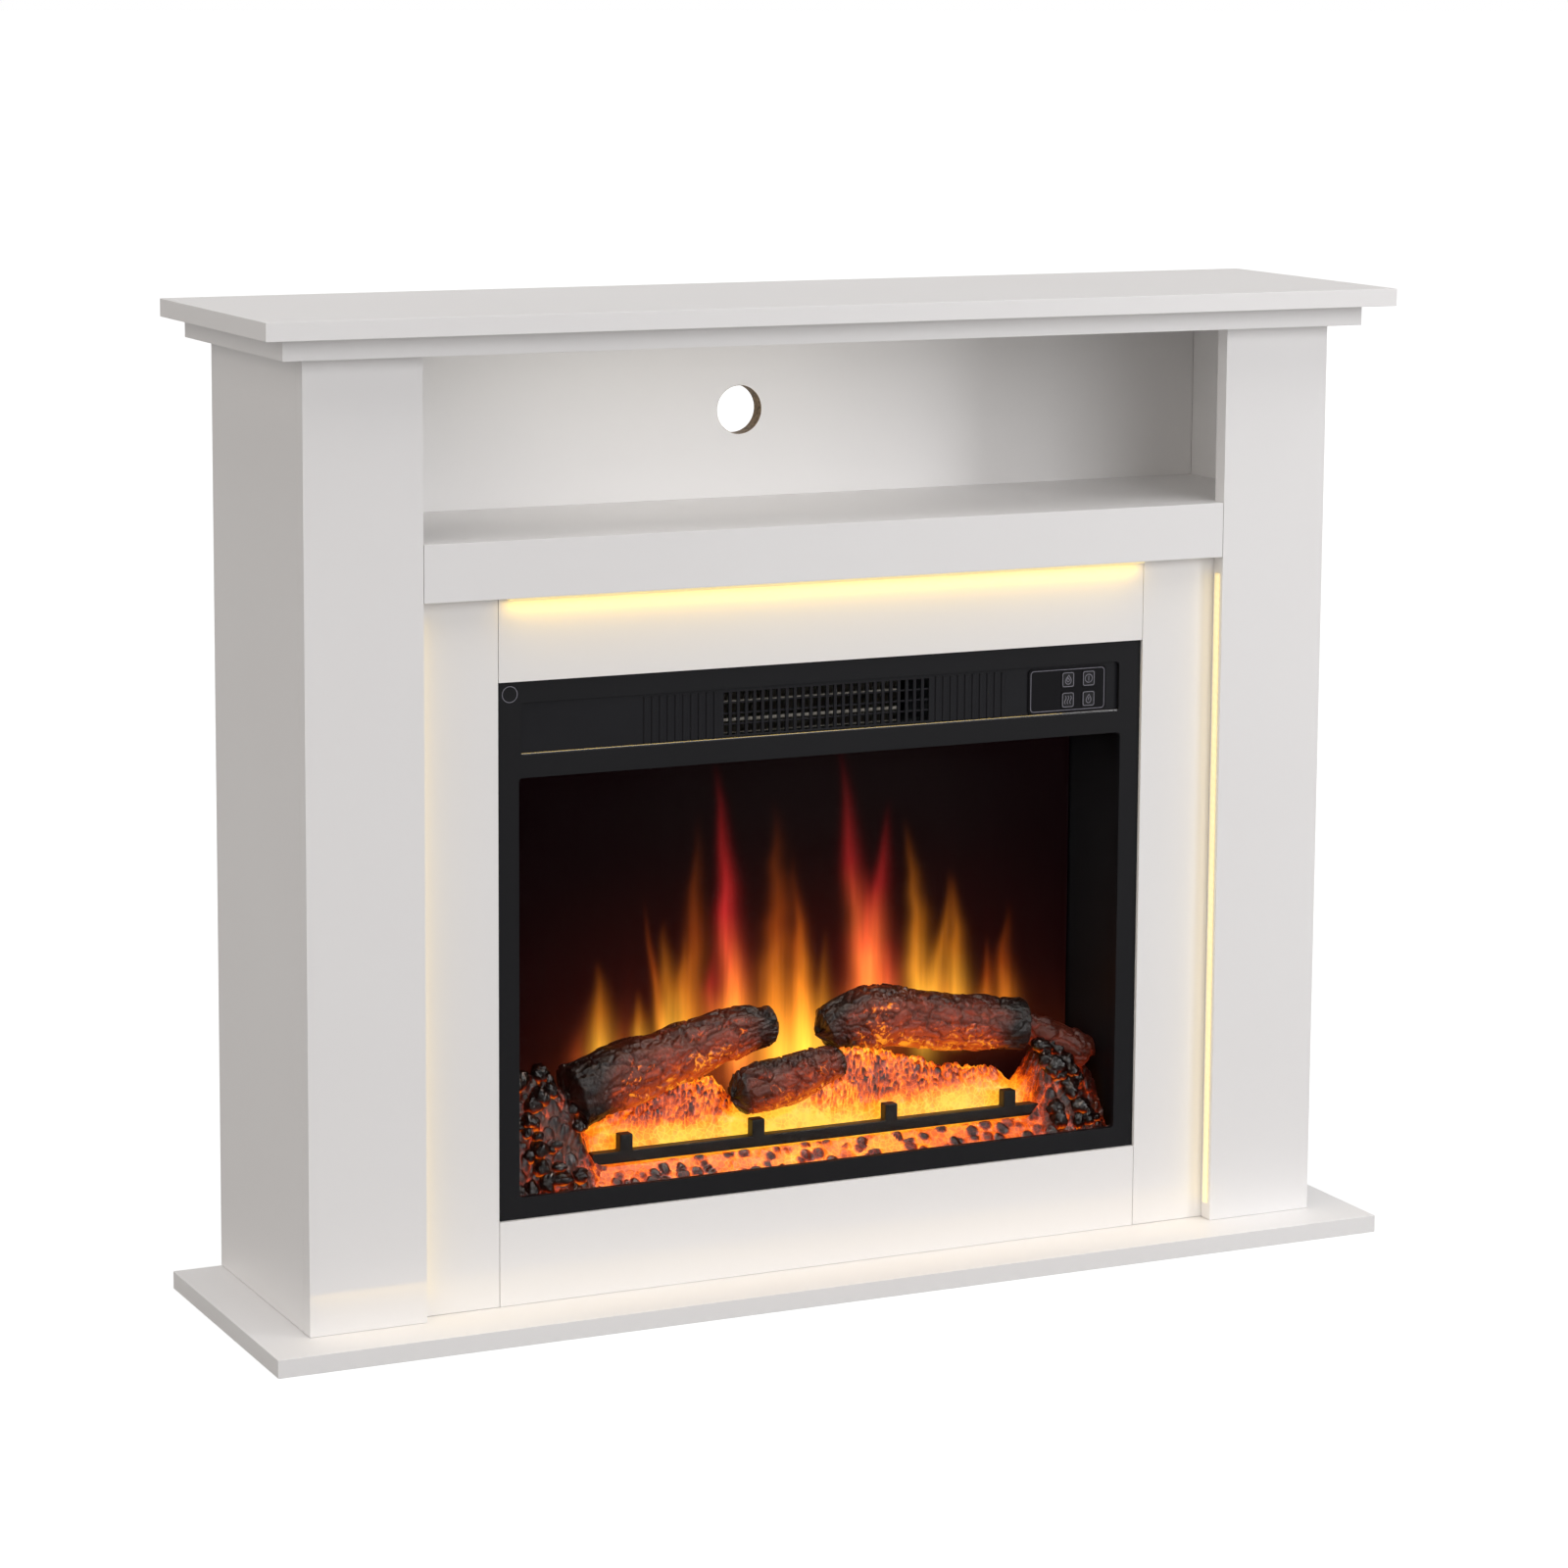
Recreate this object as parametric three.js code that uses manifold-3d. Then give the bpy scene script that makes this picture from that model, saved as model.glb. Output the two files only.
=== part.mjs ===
// Electric fireplace: a white board mantelpiece with an open shelf and warm light strips, round a
// glazed electric fire. Millimetres, +Z up. It faces -Y, stands on z = 0 and is centred on x = 0;
// the whole is moved at the end so that y = 0 is the middle of the base's depth.
import * as THREE from "three";
import { mergeVertices } from "three/addons/utils/BufferGeometryUtils.js";
import Module from "manifold-3d";

const wasm = await Module();
wasm.setup();

// ---- Driving sizes of the mantelpiece; depths are counted forward from the wall ----
const BOARD = 18; // thickness of every panel
const GAP = 0.3; // clearance where two pieces touch
const HEIGHT = 1000;
const TOP = { width: 1224, depth: 318 };
const MOULDING = { width: 1174, depth: 291, height: 21 };
const BASE = { width: 1222, depth: 322 };
const BODY = { width: 1120, depth: 268 };
const PILASTER_WIDTH = 120;
const SHELF_TOP = 780;
const BEAM_HEIGHT = 56.5;
const BACK_INSET = 10; // the back panel and the rear rails stand this far in front of the wall
const RAIL_HEIGHT = 100;
const CABLE_HOLE = { radius: 25, sides: 48 };
const STRIP = { width: 8, thickness: 2.4, end: 18 }; // light strip's section and clear ends
const BEAM_STRIP_LENGTH = 700;
const DRIVER = { width: 150, depth: 28, height: 48 };

// ---- Driving sizes of the fire; its own frame starts at the bezel's face and bottom edge ----
const FIRE = { width: 713, height: 535, recess: 4 }; // recess: bezel's face behind the fascia's
const SHEET = 1.5; // sheet steel
const BEZEL = { plate: 2, skirt: 13.7, corner: 4 };
const WINDOW = { half: 334, bottom: 21, top: 440, depth: 6.2 };
const OUTLET = { half: 332, bottom: 462, top: 514, depth: 3.7, margin: 4, plate: 2.5 };
const SLOTS = { count: 26, width: 5.4, pitch: 8.9, bottom: 466.5, top: 509.5, bars: 3 };
const RIBS = { count: 10, width: 4, pitch: 8.4, start: 121, bottom: 465, top: 511, height: 1.2 };
const PLATE = { left: 227.5, right: 318, bottom: 464.5, top: 511.5, corner: 5 };
const BUTTON = { width: 14.6, height: 16.4, corner: 2, columns: [273, 297], rows: [498.5, 477.5] };
const BUTTON_DEPTHS = { face: 1.4, rear: 10.2, switch: 11.5, board: 15 };
const CASING = { half: 345, bottom: 6, top: 531, front: 14, rear: 184 };
const DECK_HEIGHT = 450;
const GLASS = { half: 338, bottom: 17, top: 444, thickness: 4 };
const SCREEN = { half: 340, front: 118, thickness: 3, bottom: 40 };
const MASK = { half: 320, front: 127, thickness: 1, bottom: 30, top: 300, tongues: 9 };
const ROTOR = { y: 155, z: 46, shaft: 3, vane: 20, half: 300, vanes: 12 };
const LED_BOARD = { thickness: 1.6, lift: 2.5, chips: 14, chip: 5 };
const BLOWER = { y: 106, z: 488, radius: 22, half: 105, shaft: 3, blades: 16 };
const DUCT = { half: 119, front: 8, rear: 66, bottom: 463, top: 513 };
const ELEMENT = { left: -112, right: 84, front: 13, rear: 27, bottom: 467, top: 509, fins: 22 };
const GRATE = { left: -240, right: 268, front: 39, size: 12, bottom: 33, lug: 14, lugTop: 62 };
const GRATE_LUGS = [-203, -57, 94, 232];
const BRACKET = { bottom: 190, top: 340, wing: 30, leg: 42 };
const SCREW = { head: 4.2, headHeight: 2.6, shank: 2, length: 13, fromEnd: 25, fromOpening: 18 };
const FIRE_RISE = 86; // bezel's lower edge above the base board's top
const CONTROL_CARD = { across: [222, 324], heights: [463, 513] };
const RELAY = { lefts: [232, 256], width: 16, depth: 17, heights: [466, 478] };
const CAPACITOR = { radius: 6, depth: 22, x: 310, z: 500 };
const REAR_VENTS = { lefts: [-160, -60, 40], width: 80, rows: 6, bottom: 462, pitch: 10, height: 4 };
const GLAND = { x: 280, z: 60, neck: 8, collar: 12, bore: 4.5, inside: 8, outside: 14 };
const FLAME_BOARD = { half: 285, depths: [146, 164] };
const EMBER_BOARD = { half: 275, depths: [52, 70] };
const ROTOR_MOTOR = { radius: 18, length: 24, ear: 27, foot: 12 };
const ROTOR_BUSH = { radius: 8, length: 8, stand: 14 };
const BLOWER_MOTOR = { radius: 20, length: 26, foot: 16 };
const CUTOUT = { radius: 5, across: [30, 56], y: 40, tab: { across: [26, 60], depth: [36, 44] } };
const BED = { half: 330, wall: 3, foot: 8, front: [13, 26], ledge: [52, 32], slope: [70, 50], rear: [112, 42] };

// ---- Materials ----
const material = (color, roughness, metalness = 0) =>
  new THREE.MeshStandardMaterial({ color, roughness, metalness });
const whiteBoard = material(0xe6e3df, 0.55);
const blackSteel = material(0x232327, 0.45, 0.3);
const blackPlastic = material(0x1d1d20, 0.35);
const greySteel = material(0xb9bcbf, 0.4, 0.9);
const warmLight = material(0xffe2a0, 0.6);
const smokedGlass = material(0x15100f, 0.05);
const frostedSheet = material(0x3a1712, 0.5);
const resinLog = material(0x4a2317, 0.85);
const emberResin = material(0xd9701c, 0.8);
const circuitGreen = material(0x1e5b36, 0.5);
const rubberBlack = material(0x141414, 0.8);
const foil = material(0xd8d8d4, 0.2, 0.9);
const motorMetal = material(0x8e9194, 0.45, 0.8);

// ---- Solids ----
// A box over three [from, to] spans.
function block(x, y, z) {
  const size = [x, y, z].map(([from, to]) => to - from);
  const middle = [x, y, z].map(([from, to]) => (from + to) / 2);
  return new THREE.BoxGeometry(...size).translate(...middle);
}

// The span from a to b on the side that sign gives, in rising order.
const onSide = (sign, a, b) => (sign < 0 ? [-b, -a] : [a, b]);

// A round bar along x, y or z, from one end to the other, through the point given by the two
// other coordinates in their order.
function rod(axis, radius, [from, to], [u, v], sides = 24) {
  const bar = new THREE.CylinderGeometry(radius, radius, to - from, sides);
  const middle = (from + to) / 2;
  if (axis === "x") return bar.rotateZ(-Math.PI / 2).translate(middle, u, v);
  if (axis === "y") return bar.translate(u, middle, v);
  return bar.rotateX(Math.PI / 2).translate(u, v, middle);
}

// A rectangle with round corners, as a shape in the plane of x and z.
function roundedRectangle([left, right], [bottom, top], radius) {
  const outline = new THREE.Shape();
  outline.moveTo(left + radius, bottom);
  outline.absarc(right - radius, bottom + radius, radius, -Math.PI / 2, 0);
  outline.absarc(right - radius, top - radius, radius, 0, Math.PI / 2);
  outline.absarc(left + radius, top - radius, radius, Math.PI / 2, Math.PI);
  outline.absarc(left + radius, bottom + radius, radius, Math.PI, Math.PI * 1.5);
  return outline;
}

// A shape drawn in x and z, made thick from y = front to y = rear.
function upright(outline, [front, rear], curveSegments = 4) {
  const options = { depth: rear - front, bevelEnabled: false, curveSegments };
  return new THREE.ExtrudeGeometry(outline, options).rotateX(Math.PI / 2).translate(0, rear, 0);
}

// A shape drawn in y and z, drawn out along x.
function drawnOut(outline, [left, right], curveSegments = 6) {
  const options = { depth: right - left, bevelEnabled: false, curveSegments };
  const turn = new THREE.Matrix4().makeBasis(
    new THREE.Vector3(0, 1, 0),
    new THREE.Vector3(0, 0, 1),
    new THREE.Vector3(1, 0, 0),
  );
  return new THREE.ExtrudeGeometry(outline, options).applyMatrix4(turn).translate(left, 0, 0);
}

// A rough round bar through [x, y, z, radius] stations, with flat ends.
function roughBar(stations, sides = 10) {
  const up = new THREE.Vector3(0, 0, 1);
  const centres = stations.map(([x, y, z]) => new THREE.Vector3(x, y, z));
  const points = [];
  stations.forEach(([, , , radius], i) => {
    const before = centres[Math.max(i - 1, 0)];
    const after = centres[Math.min(i + 1, centres.length - 1)];
    const along = after.clone().sub(before).normalize();
    const side = along.clone().cross(up).normalize();
    const top = side.clone().cross(along);
    for (let k = 0; k < sides; k++) {
      const angle = (2 * Math.PI * k) / sides;
      const wobble = radius * (1 + 0.08 * Math.sin(3 * angle + 1.7 * i));
      const point = centres[i].clone().addScaledVector(side, wobble * Math.cos(angle));
      points.push(point.addScaledVector(top, wobble * Math.sin(angle)));
    }
  });
  const faces = [];
  const last = (stations.length - 1) * sides;
  for (let i = 0; i < last; i += sides) {
    for (let k = 0; k < sides; k++) {
      const next = (k + 1) % sides;
      faces.push(i + k, i + sides + k, i + next, i + next, i + sides + k, i + sides + next);
    }
  }
  for (let k = 1; k < sides - 1; k++) {
    faces.push(0, k, k + 1);
    faces.push(last, last + k + 1, last + k);
  }
  return new THREE.BufferGeometry().setFromPoints(points).setIndex(faces);
}

// ---- Joining and cutting ----
function solid(geometry) {
  const bare = geometry.clone();
  bare.deleteAttribute("normal");
  bare.deleteAttribute("uv");
  const merged = mergeVertices(bare, 1e-3);
  const mesh = new wasm.Mesh({
    numProp: 3,
    vertProperties: merged.attributes.position.array,
    triVerts: new Uint32Array(merged.index.array),
  });
  return new wasm.Manifold(mesh);
}

function geometryOf(manifold) {
  const { vertProperties, triVerts } = manifold.getMesh();
  const geometry = new THREE.BufferGeometry();
  geometry.setAttribute("position", new THREE.BufferAttribute(vertProperties, 3));
  geometry.setIndex(new THREE.BufferAttribute(triVerts, 1));
  return geometry;
}

const join = (...pieces) => geometryOf(pieces.map(solid).reduce((a, b) => a.add(b)));
const cut = (body, ...tools) =>
  geometryOf(tools.map(solid).reduce((a, b) => a.subtract(b), solid(body)));

// ---- Scene graph ----
const fireplace = new THREE.Group();
const mantelpiece = new THREE.Group();
const fire = new THREE.Group();
fire.position.set(0, FIRE.recess - (BODY.depth - BOARD), BOARD + FIRE_RISE);
fireplace.add(mantelpiece, fire);

function add(group, name, surface, geometry, position = [0, 0, 0]) {
  const mesh = new THREE.Mesh(geometry, surface);
  mesh.name = name;
  mesh.position.set(...position);
  group.add(mesh);
  return mesh;
}

// ---- Mantelpiece: heights and depths that the driving sizes give ----
const floorOfBody = BOARD + GAP;
const topOfBody = HEIGHT - BOARD - MOULDING.height;
const fasciaFront = -(BODY.depth - BOARD);
const innerHalf = BODY.width / 2 - BOARD;
const openingHalf = BODY.width / 2 - PILASTER_WIDTH;
const fireOpening = { half: FIRE.width / 2 + 0.5, bottom: fire.position.z - 0.5 };
fireOpening.top = fire.position.z + FIRE.height + 0.5;
const boardsBehind = [-BACK_INSET - BOARD, -BACK_INSET];
const fasciaDepth = [fasciaFront + GAP, fasciaFront + BOARD];
const beamBottom = SHELF_TOP - BEAM_HEIGHT;
const screwSpan = [BRACKET.bottom + SCREW.fromEnd, BRACKET.top - SCREW.fromEnd];
const screwHeights = screwSpan.map((z) => z + fire.position.z);
const screwX = fireOpening.half + SCREW.fromOpening;

function buildTopAndBase() {
  const topSpan = [-TOP.width / 2, TOP.width / 2];
  const mouldingSpan = [-MOULDING.width / 2, MOULDING.width / 2];
  const baseSpan = [-BASE.width / 2, BASE.width / 2];
  const top = block(topSpan, [-TOP.depth, 0], [HEIGHT - BOARD, HEIGHT]);
  const moulding = block(mouldingSpan, [-MOULDING.depth, 0], [topOfBody, HEIGHT - BOARD - GAP]);
  add(mantelpiece, "top_board", whiteBoard, top);
  add(mantelpiece, "under_moulding", whiteBoard, moulding);
  add(mantelpiece, "base_board", whiteBoard, block(baseSpan, [-BASE.depth, 0], [0, BOARD]));
}

function buildSides() {
  const heights = [floorOfBody, topOfBody - GAP];
  for (const [side, sign] of [["left", -1], ["right", 1]]) {
    const panel = block(onSide(sign, innerHalf, BODY.width / 2), [fasciaFront + GAP, 0], heights);
    const pilaster = block(
      onSide(sign, openingHalf, BODY.width / 2),
      [-BODY.depth, fasciaFront],
      heights,
    );
    add(mantelpiece, side + "_side_panel", whiteBoard, panel);
    add(mantelpiece, side + "_pilaster_board", whiteBoard, pilaster);
  }
}

function buildShelf() {
  const across = [-innerHalf + GAP, innerHalf - GAP];
  const shelfDepth = [fasciaFront + GAP, boardsBehind[0] - GAP];
  const shelf = block(across, shelfDepth, [SHELF_TOP - BOARD, SHELF_TOP]);
  const back = block(across, boardsBehind, [SHELF_TOP - BOARD, topOfBody - GAP]);
  const holeHeight = (SHELF_TOP + topOfBody) / 2;
  const hole = rod("y", CABLE_HOLE.radius, [-60, 10], [0, holeHeight], CABLE_HOLE.sides);
  const beamSpan = [-openingHalf + 0.6, openingHalf - 0.6];
  const beam = block(beamSpan, [-BODY.depth, fasciaFront], [beamBottom, SHELF_TOP]);
  add(mantelpiece, "niche_shelf", whiteBoard, shelf);
  add(mantelpiece, "niche_back_panel", whiteBoard, cut(back, hole));
  add(mantelpiece, "beam_front", whiteBoard, beam);
}

function buildFascia() {
  const underShelf = SHELF_TOP - BOARD - GAP;
  const between = [-fireOpening.half + 0.6, fireOpening.half - 0.6];
  const upper = block(between, fasciaDepth, [fireOpening.top, underShelf]);
  const lower = block(between, fasciaDepth, [floorOfBody, fireOpening.bottom]);
  add(mantelpiece, "upper_fascia", whiteBoard, upper);
  add(mantelpiece, "lower_fascia", whiteBoard, lower);
  for (const [side, sign] of [["left", -1], ["right", 1]]) {
    const across = onSide(sign, fireOpening.half, innerHalf - GAP);
    const board = block(across, fasciaDepth, [floorOfBody, underShelf]);
    const pilots = screwHeights.map((z) =>
      rod("y", SCREW.shank + GAP, [fasciaFront + 4, fasciaFront + 30], [sign * screwX, z], 12),
    );
    add(mantelpiece, side + "_fascia", whiteBoard, cut(board, ...pilots));
  }
}

function buildRearRails() {
  const across = [-innerHalf + GAP, innerHalf - GAP];
  const underShelf = SHELF_TOP - BOARD - GAP;
  const upper = block(across, boardsBehind, [underShelf - RAIL_HEIGHT, underShelf]);
  const lower = block(across, boardsBehind, [floorOfBody, floorOfBody + RAIL_HEIGHT]);
  add(mantelpiece, "rear_shelf_rail", whiteBoard, upper);
  add(mantelpiece, "rear_base_rail", whiteBoard, lower);
}

// A strip is a flat silicone profile with a domed face, which looks along +y or, with -1, along -y.
function stripSection(facing = 1) {
  const half = STRIP.width / 2;
  const section = new THREE.Shape();
  section.moveTo(-half, 0);
  section.lineTo(half, 0);
  section.lineTo(half, facing * STRIP.thickness * 0.5);
  section.quadraticCurveTo(0, facing * STRIP.thickness * 1.5, -half, facing * STRIP.thickness * 0.5);
  return section;
}

function buildLightStrips() {
  const middle = -BODY.depth + BOARD / 2;
  const options = {
    depth: beamBottom - floorOfBody - 2 * STRIP.end,
    bevelEnabled: false,
    curveSegments: 6,
  };
  for (const [side, sign] of [["left", -1], ["right", 1]]) {
    const bar = new THREE.ExtrudeGeometry(stripSection(), options);
    bar.rotateZ((sign * Math.PI) / 2);
    const place = [sign * (openingHalf - GAP), middle, floorOfBody + STRIP.end];
    add(mantelpiece, "led_strip_" + side, warmLight, bar, place);
  }
  const bar = drawnOut(stripSection(-1), [-BEAM_STRIP_LENGTH / 2, BEAM_STRIP_LENGTH / 2]);
  add(mantelpiece, "led_strip_beam", warmLight, bar, [0, middle, beamBottom - GAP]);
}

// The strips' supply is a plain box with two cable stubs' bosses, behind the upper fascia.
function buildDriver() {
  const front = fasciaFront + BOARD + GAP;
  const left = -DRIVER.width / 2;
  const centreZ = fireOpening.top + 62;
  const heights = [centreZ - DRIVER.height / 2, centreZ + DRIVER.height / 2];
  const body = block([left, -left], [front, front + DRIVER.depth], heights);
  const boss = rod("x", 5, [left - 8, -left + 8], [front + DRIVER.depth / 2, centreZ], 16);
  add(mantelpiece, "led_driver", blackPlastic, join(body, boss));
}

// ---- Fire: bezel, outlet and controls ----
const windowSpan = [-WINDOW.half, WINDOW.half];
const windowHeights = [WINDOW.bottom, WINDOW.top];
const outletSpan = [-OUTLET.half, OUTLET.half];
const outletHeights = [OUTLET.bottom, OUTLET.top];
const grown = ([from, to], by) => [from - by, to + by];

// A frame of rectangular section: the outline grown outwards, less the outline.
function ring(across, heights, wall, depths) {
  const outer = roundedRectangle(grown(across, wall), grown(heights, wall), BEZEL.corner + wall);
  const inner = roundedRectangle(across, heights, BEZEL.corner);
  return cut(upright(outer, depths), upright(inner, grown(depths, 1)));
}

function buildBezel() {
  const half = FIRE.width / 2;
  const heights = [0, FIRE.height];
  const plate = block([-half, half], [0, BEZEL.plate], heights);
  const openings = [
    upright(roundedRectangle(windowSpan, windowHeights, BEZEL.corner), [-1, BEZEL.plate + 1]),
    upright(roundedRectangle(outletSpan, outletHeights, BEZEL.corner), [-1, BEZEL.plate + 1]),
  ];
  const skirtDepth = [BEZEL.plate - 0.5, BEZEL.skirt];
  const inside = block(grown([-half, half], -SHEET), grown(skirtDepth, 1), grown(heights, -SHEET));
  const skirt = cut(block([-half, half], skirtDepth, heights), inside);
  const windowLip = ring(windowSpan, windowHeights, SHEET, [BEZEL.plate - 0.5, WINDOW.depth]);
  const outletLip = ring(outletSpan, outletHeights, SHEET, [BEZEL.plate - 0.5, OUTLET.depth]);
  const bezel = join(cut(plate, ...openings), skirt, windowLip, outletLip);
  add(fire, "insert_frame", blackSteel, bezel);
}

const buttonSpans = BUTTON.rows.flatMap((z) =>
  BUTTON.columns.map((x) => ({
    x: [x - BUTTON.width / 2, x + BUTTON.width / 2],
    z: [z - BUTTON.height / 2, z + BUTTON.height / 2],
  })),
);
const buttonHoles = buttonSpans.map(({ x, z }) =>
  upright(roundedRectangle(grown(x, GAP), grown(z, GAP), BUTTON.corner), [0, 20]),
);

function buildOutletFascia() {
  const front = OUTLET.depth + GAP;
  const rear = front + OUTLET.plate;
  const across = grown(outletSpan, OUTLET.margin);
  const plate = block(across, [front, rear], grown(outletHeights, OUTLET.margin));
  const slots = [];
  for (let i = 0; i < SLOTS.count; i++) {
    const x = (i - (SLOTS.count - 1) / 2) * SLOTS.pitch;
    const span = [x - SLOTS.width / 2, x + SLOTS.width / 2];
    slots.push(block(span, [front - 1, rear + 1], [SLOTS.bottom, SLOTS.top]));
  }
  const ribs = [];
  for (const sign of [-1, 1]) {
    for (let i = 0; i < RIBS.count; i++) {
      const start = RIBS.start + i * RIBS.pitch;
      const span = onSide(sign, start, start + RIBS.width);
      ribs.push(block(span, [front - RIBS.height, front + 0.5], [RIBS.bottom, RIBS.top]));
    }
  }
  const slotHalf = (SLOTS.count * SLOTS.pitch) / 2;
  const bars = [];
  for (let i = 1; i <= SLOTS.bars; i++) {
    const z = SLOTS.bottom + ((SLOTS.top - SLOTS.bottom) * i) / (SLOTS.bars + 1);
    bars.push(block([-slotHalf, slotHalf], [rear - 1, rear + 0.8], [z - 0.8, z + 0.8]));
  }
  const pierced = cut(plate, ...slots, ...buttonHoles);
  add(fire, "outlet_fascia", blackPlastic, join(pierced, ...ribs, ...bars));
}

function buildControls() {
  const plateDepth = [OUTLET.depth + GAP - 1.8, OUTLET.depth];
  const across = [PLATE.left, PLATE.right];
  const plate = upright(
    roundedRectangle(across, [PLATE.bottom, PLATE.top], PLATE.corner),
    plateDepth,
  );
  add(fire, "control_plate", blackPlastic, cut(plate, ...buttonHoles));
  const names = ["button_power", "button_flame", "button_heat", "button_embers"];
  buttonSpans.forEach(({ x, z }, i) => {
    const middle = [(x[0] + x[1]) / 2, BUTTON_DEPTHS.face, (z[0] + z[1]) / 2];
    const half = [BUTTON.width / 2, BUTTON.height / 2];
    const cap = roundedRectangle([-half[0], half[0]], [-half[1], half[1]], BUTTON.corner);
    const capDepth = [0, 5];
    const stemDepth = [4, BUTTON_DEPTHS.rear - BUTTON_DEPTHS.face];
    const button = join(upright(cap, capDepth), block([-2, 2], stemDepth, [-2, 2]));
    add(fire, names[i], blackPlastic, button, middle);
  });
}

function buildControlBoard() {
  const front = BUTTON_DEPTHS.board;
  const cardDepth = [front, front + LED_BOARD.thickness];
  const card = block(CONTROL_CARD.across, cardDepth, CONTROL_CARD.heights);
  const switches = buttonSpans.map(({ x, z }) => {
    const centre = [(x[0] + x[1]) / 2, (z[0] + z[1]) / 2];
    const across = [centre[0] - 3, centre[0] + 3];
    const heights = [centre[1] - 3, centre[1] + 3];
    return block(across, [BUTTON_DEPTHS.switch, front + 0.5], heights);
  });
  const relayDepth = [front + 1, front + RELAY.depth];
  const relays = RELAY.lefts.map((x) => block([x, x + RELAY.width], relayDepth, RELAY.heights));
  const canDepth = [front + 1, front + CAPACITOR.depth];
  const capacitor = rod("y", CAPACITOR.radius, canDepth, [CAPACITOR.x, CAPACITOR.z], 16);
  add(fire, "control_board", circuitGreen, join(card, ...switches, ...relays, capacitor));
}

function buildGlass() {
  const front = WINDOW.depth + GAP;
  const glass = block(
    [-GLASS.half, GLASS.half],
    [front, front + GLASS.thickness],
    [GLASS.bottom, GLASS.top],
  );
  const lipOutside = SHEET + GAP;
  const seal = ring(
    grown(windowSpan, lipOutside),
    grown(windowHeights, lipOutside),
    4,
    [BEZEL.plate + GAP, WINDOW.depth],
  );
  add(fire, "front_glass", smokedGlass, glass);
  add(fire, "glass_seal", rubberBlack, seal);
}

// ---- Fire: casing ----
function buildCasing() {
  const depth = [CASING.front, CASING.rear];
  const walls = [CASING.bottom, CASING.top - SHEET - GAP];
  const outer = block([-CASING.half, CASING.half], depth, walls);
  const inner = block(
    grown([-CASING.half, CASING.half], -SHEET),
    grown(depth, 1),
    [CASING.bottom + SHEET, CASING.top + 10],
  );
  const flanges = [-1, 1].map((sign) =>
    block(
      onSide(sign, CASING.half - 1, CASING.half + 8),
      [BEZEL.skirt + GAP, BEZEL.skirt + GAP + SHEET],
      walls,
    ),
  );
  add(fire, "casing_tray", blackSteel, join(cut(outer, inner), ...flanges));
  const lid = block([-CASING.half, CASING.half], depth, [CASING.top - SHEET, CASING.top]);
  add(fire, "casing_top", blackSteel, lid);
  const deckAcross = grown([-CASING.half, CASING.half], -SHEET - GAP);
  const deckDepth = [CASING.front, CASING.rear - 2];
  const deck = block(deckAcross, deckDepth, [DECK_HEIGHT, DECK_HEIGHT + SHEET]);
  add(fire, "heater_deck", greySteel, deck);
}

function buildRearCover() {
  const depth = [CASING.rear + GAP, CASING.rear + GAP + SHEET];
  const sheet = block([-CASING.half, CASING.half], depth, [CASING.bottom, CASING.top]);
  const vents = [];
  for (const x of REAR_VENTS.lefts) {
    for (let i = 0; i < REAR_VENTS.rows; i++) {
      const bottom = REAR_VENTS.bottom + i * REAR_VENTS.pitch;
      const heights = [bottom, bottom + REAR_VENTS.height];
      vents.push(block([x, x + REAR_VENTS.width], grown(depth, 2), heights));
    }
  }
  const axis = [GLAND.x, GLAND.z];
  const entry = rod("y", GLAND.neck + GAP, grown(depth, 2), axis);
  add(fire, "rear_cover", greySteel, cut(sheet, ...vents, entry));
  const neck = rod("y", GLAND.neck, [depth[0] - GLAND.inside, depth[1] + 2], axis);
  const collar = rod("y", GLAND.collar, [depth[1] + GAP, depth[1] + GLAND.outside], axis);
  const bore = rod("y", GLAND.bore, grown(depth, 2 * GLAND.outside), axis);
  add(fire, "mains_gland", blackPlastic, cut(join(neck, collar), bore));
}

// ---- Fire: flame effect ----
// A sheet with tall flame-shaped openings, each a leaf between two curves.
function flameTongue(x, bottom, height, width, lean) {
  const leaf = new THREE.Shape();
  leaf.moveTo(x - width / 2, bottom);
  leaf.quadraticCurveTo(x - width, bottom + height * 0.5, x + lean, bottom + height);
  leaf.quadraticCurveTo(x + width, bottom + height * 0.4, x + width / 2, bottom);
  return leaf;
}

function buildScreens() {
  const screen = block(
    [-SCREEN.half, SCREEN.half],
    [SCREEN.front, SCREEN.front + SCREEN.thickness],
    [SCREEN.bottom, DECK_HEIGHT - GAP],
  );
  add(fire, "flame_screen", frostedSheet, screen);
  const depth = [MASK.front, MASK.front + MASK.thickness];
  const sheet = block([-MASK.half, MASK.half], depth, [MASK.bottom, MASK.top]);
  const tongues = [];
  for (let i = 0; i < MASK.tongues; i++) {
    const x = (i - (MASK.tongues - 1) / 2) * 62;
    const height = 130 + 70 * Math.sin(2.1 * i + 0.6);
    const leaf = flameTongue(x, MASK.bottom + 20, height, 20, 9 * Math.cos(i * 1.3));
    tongues.push(upright(leaf, grown(depth, 1), 6));
  }
  add(fire, "flame_mask", greySteel, cut(sheet, ...tongues));
}

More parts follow.
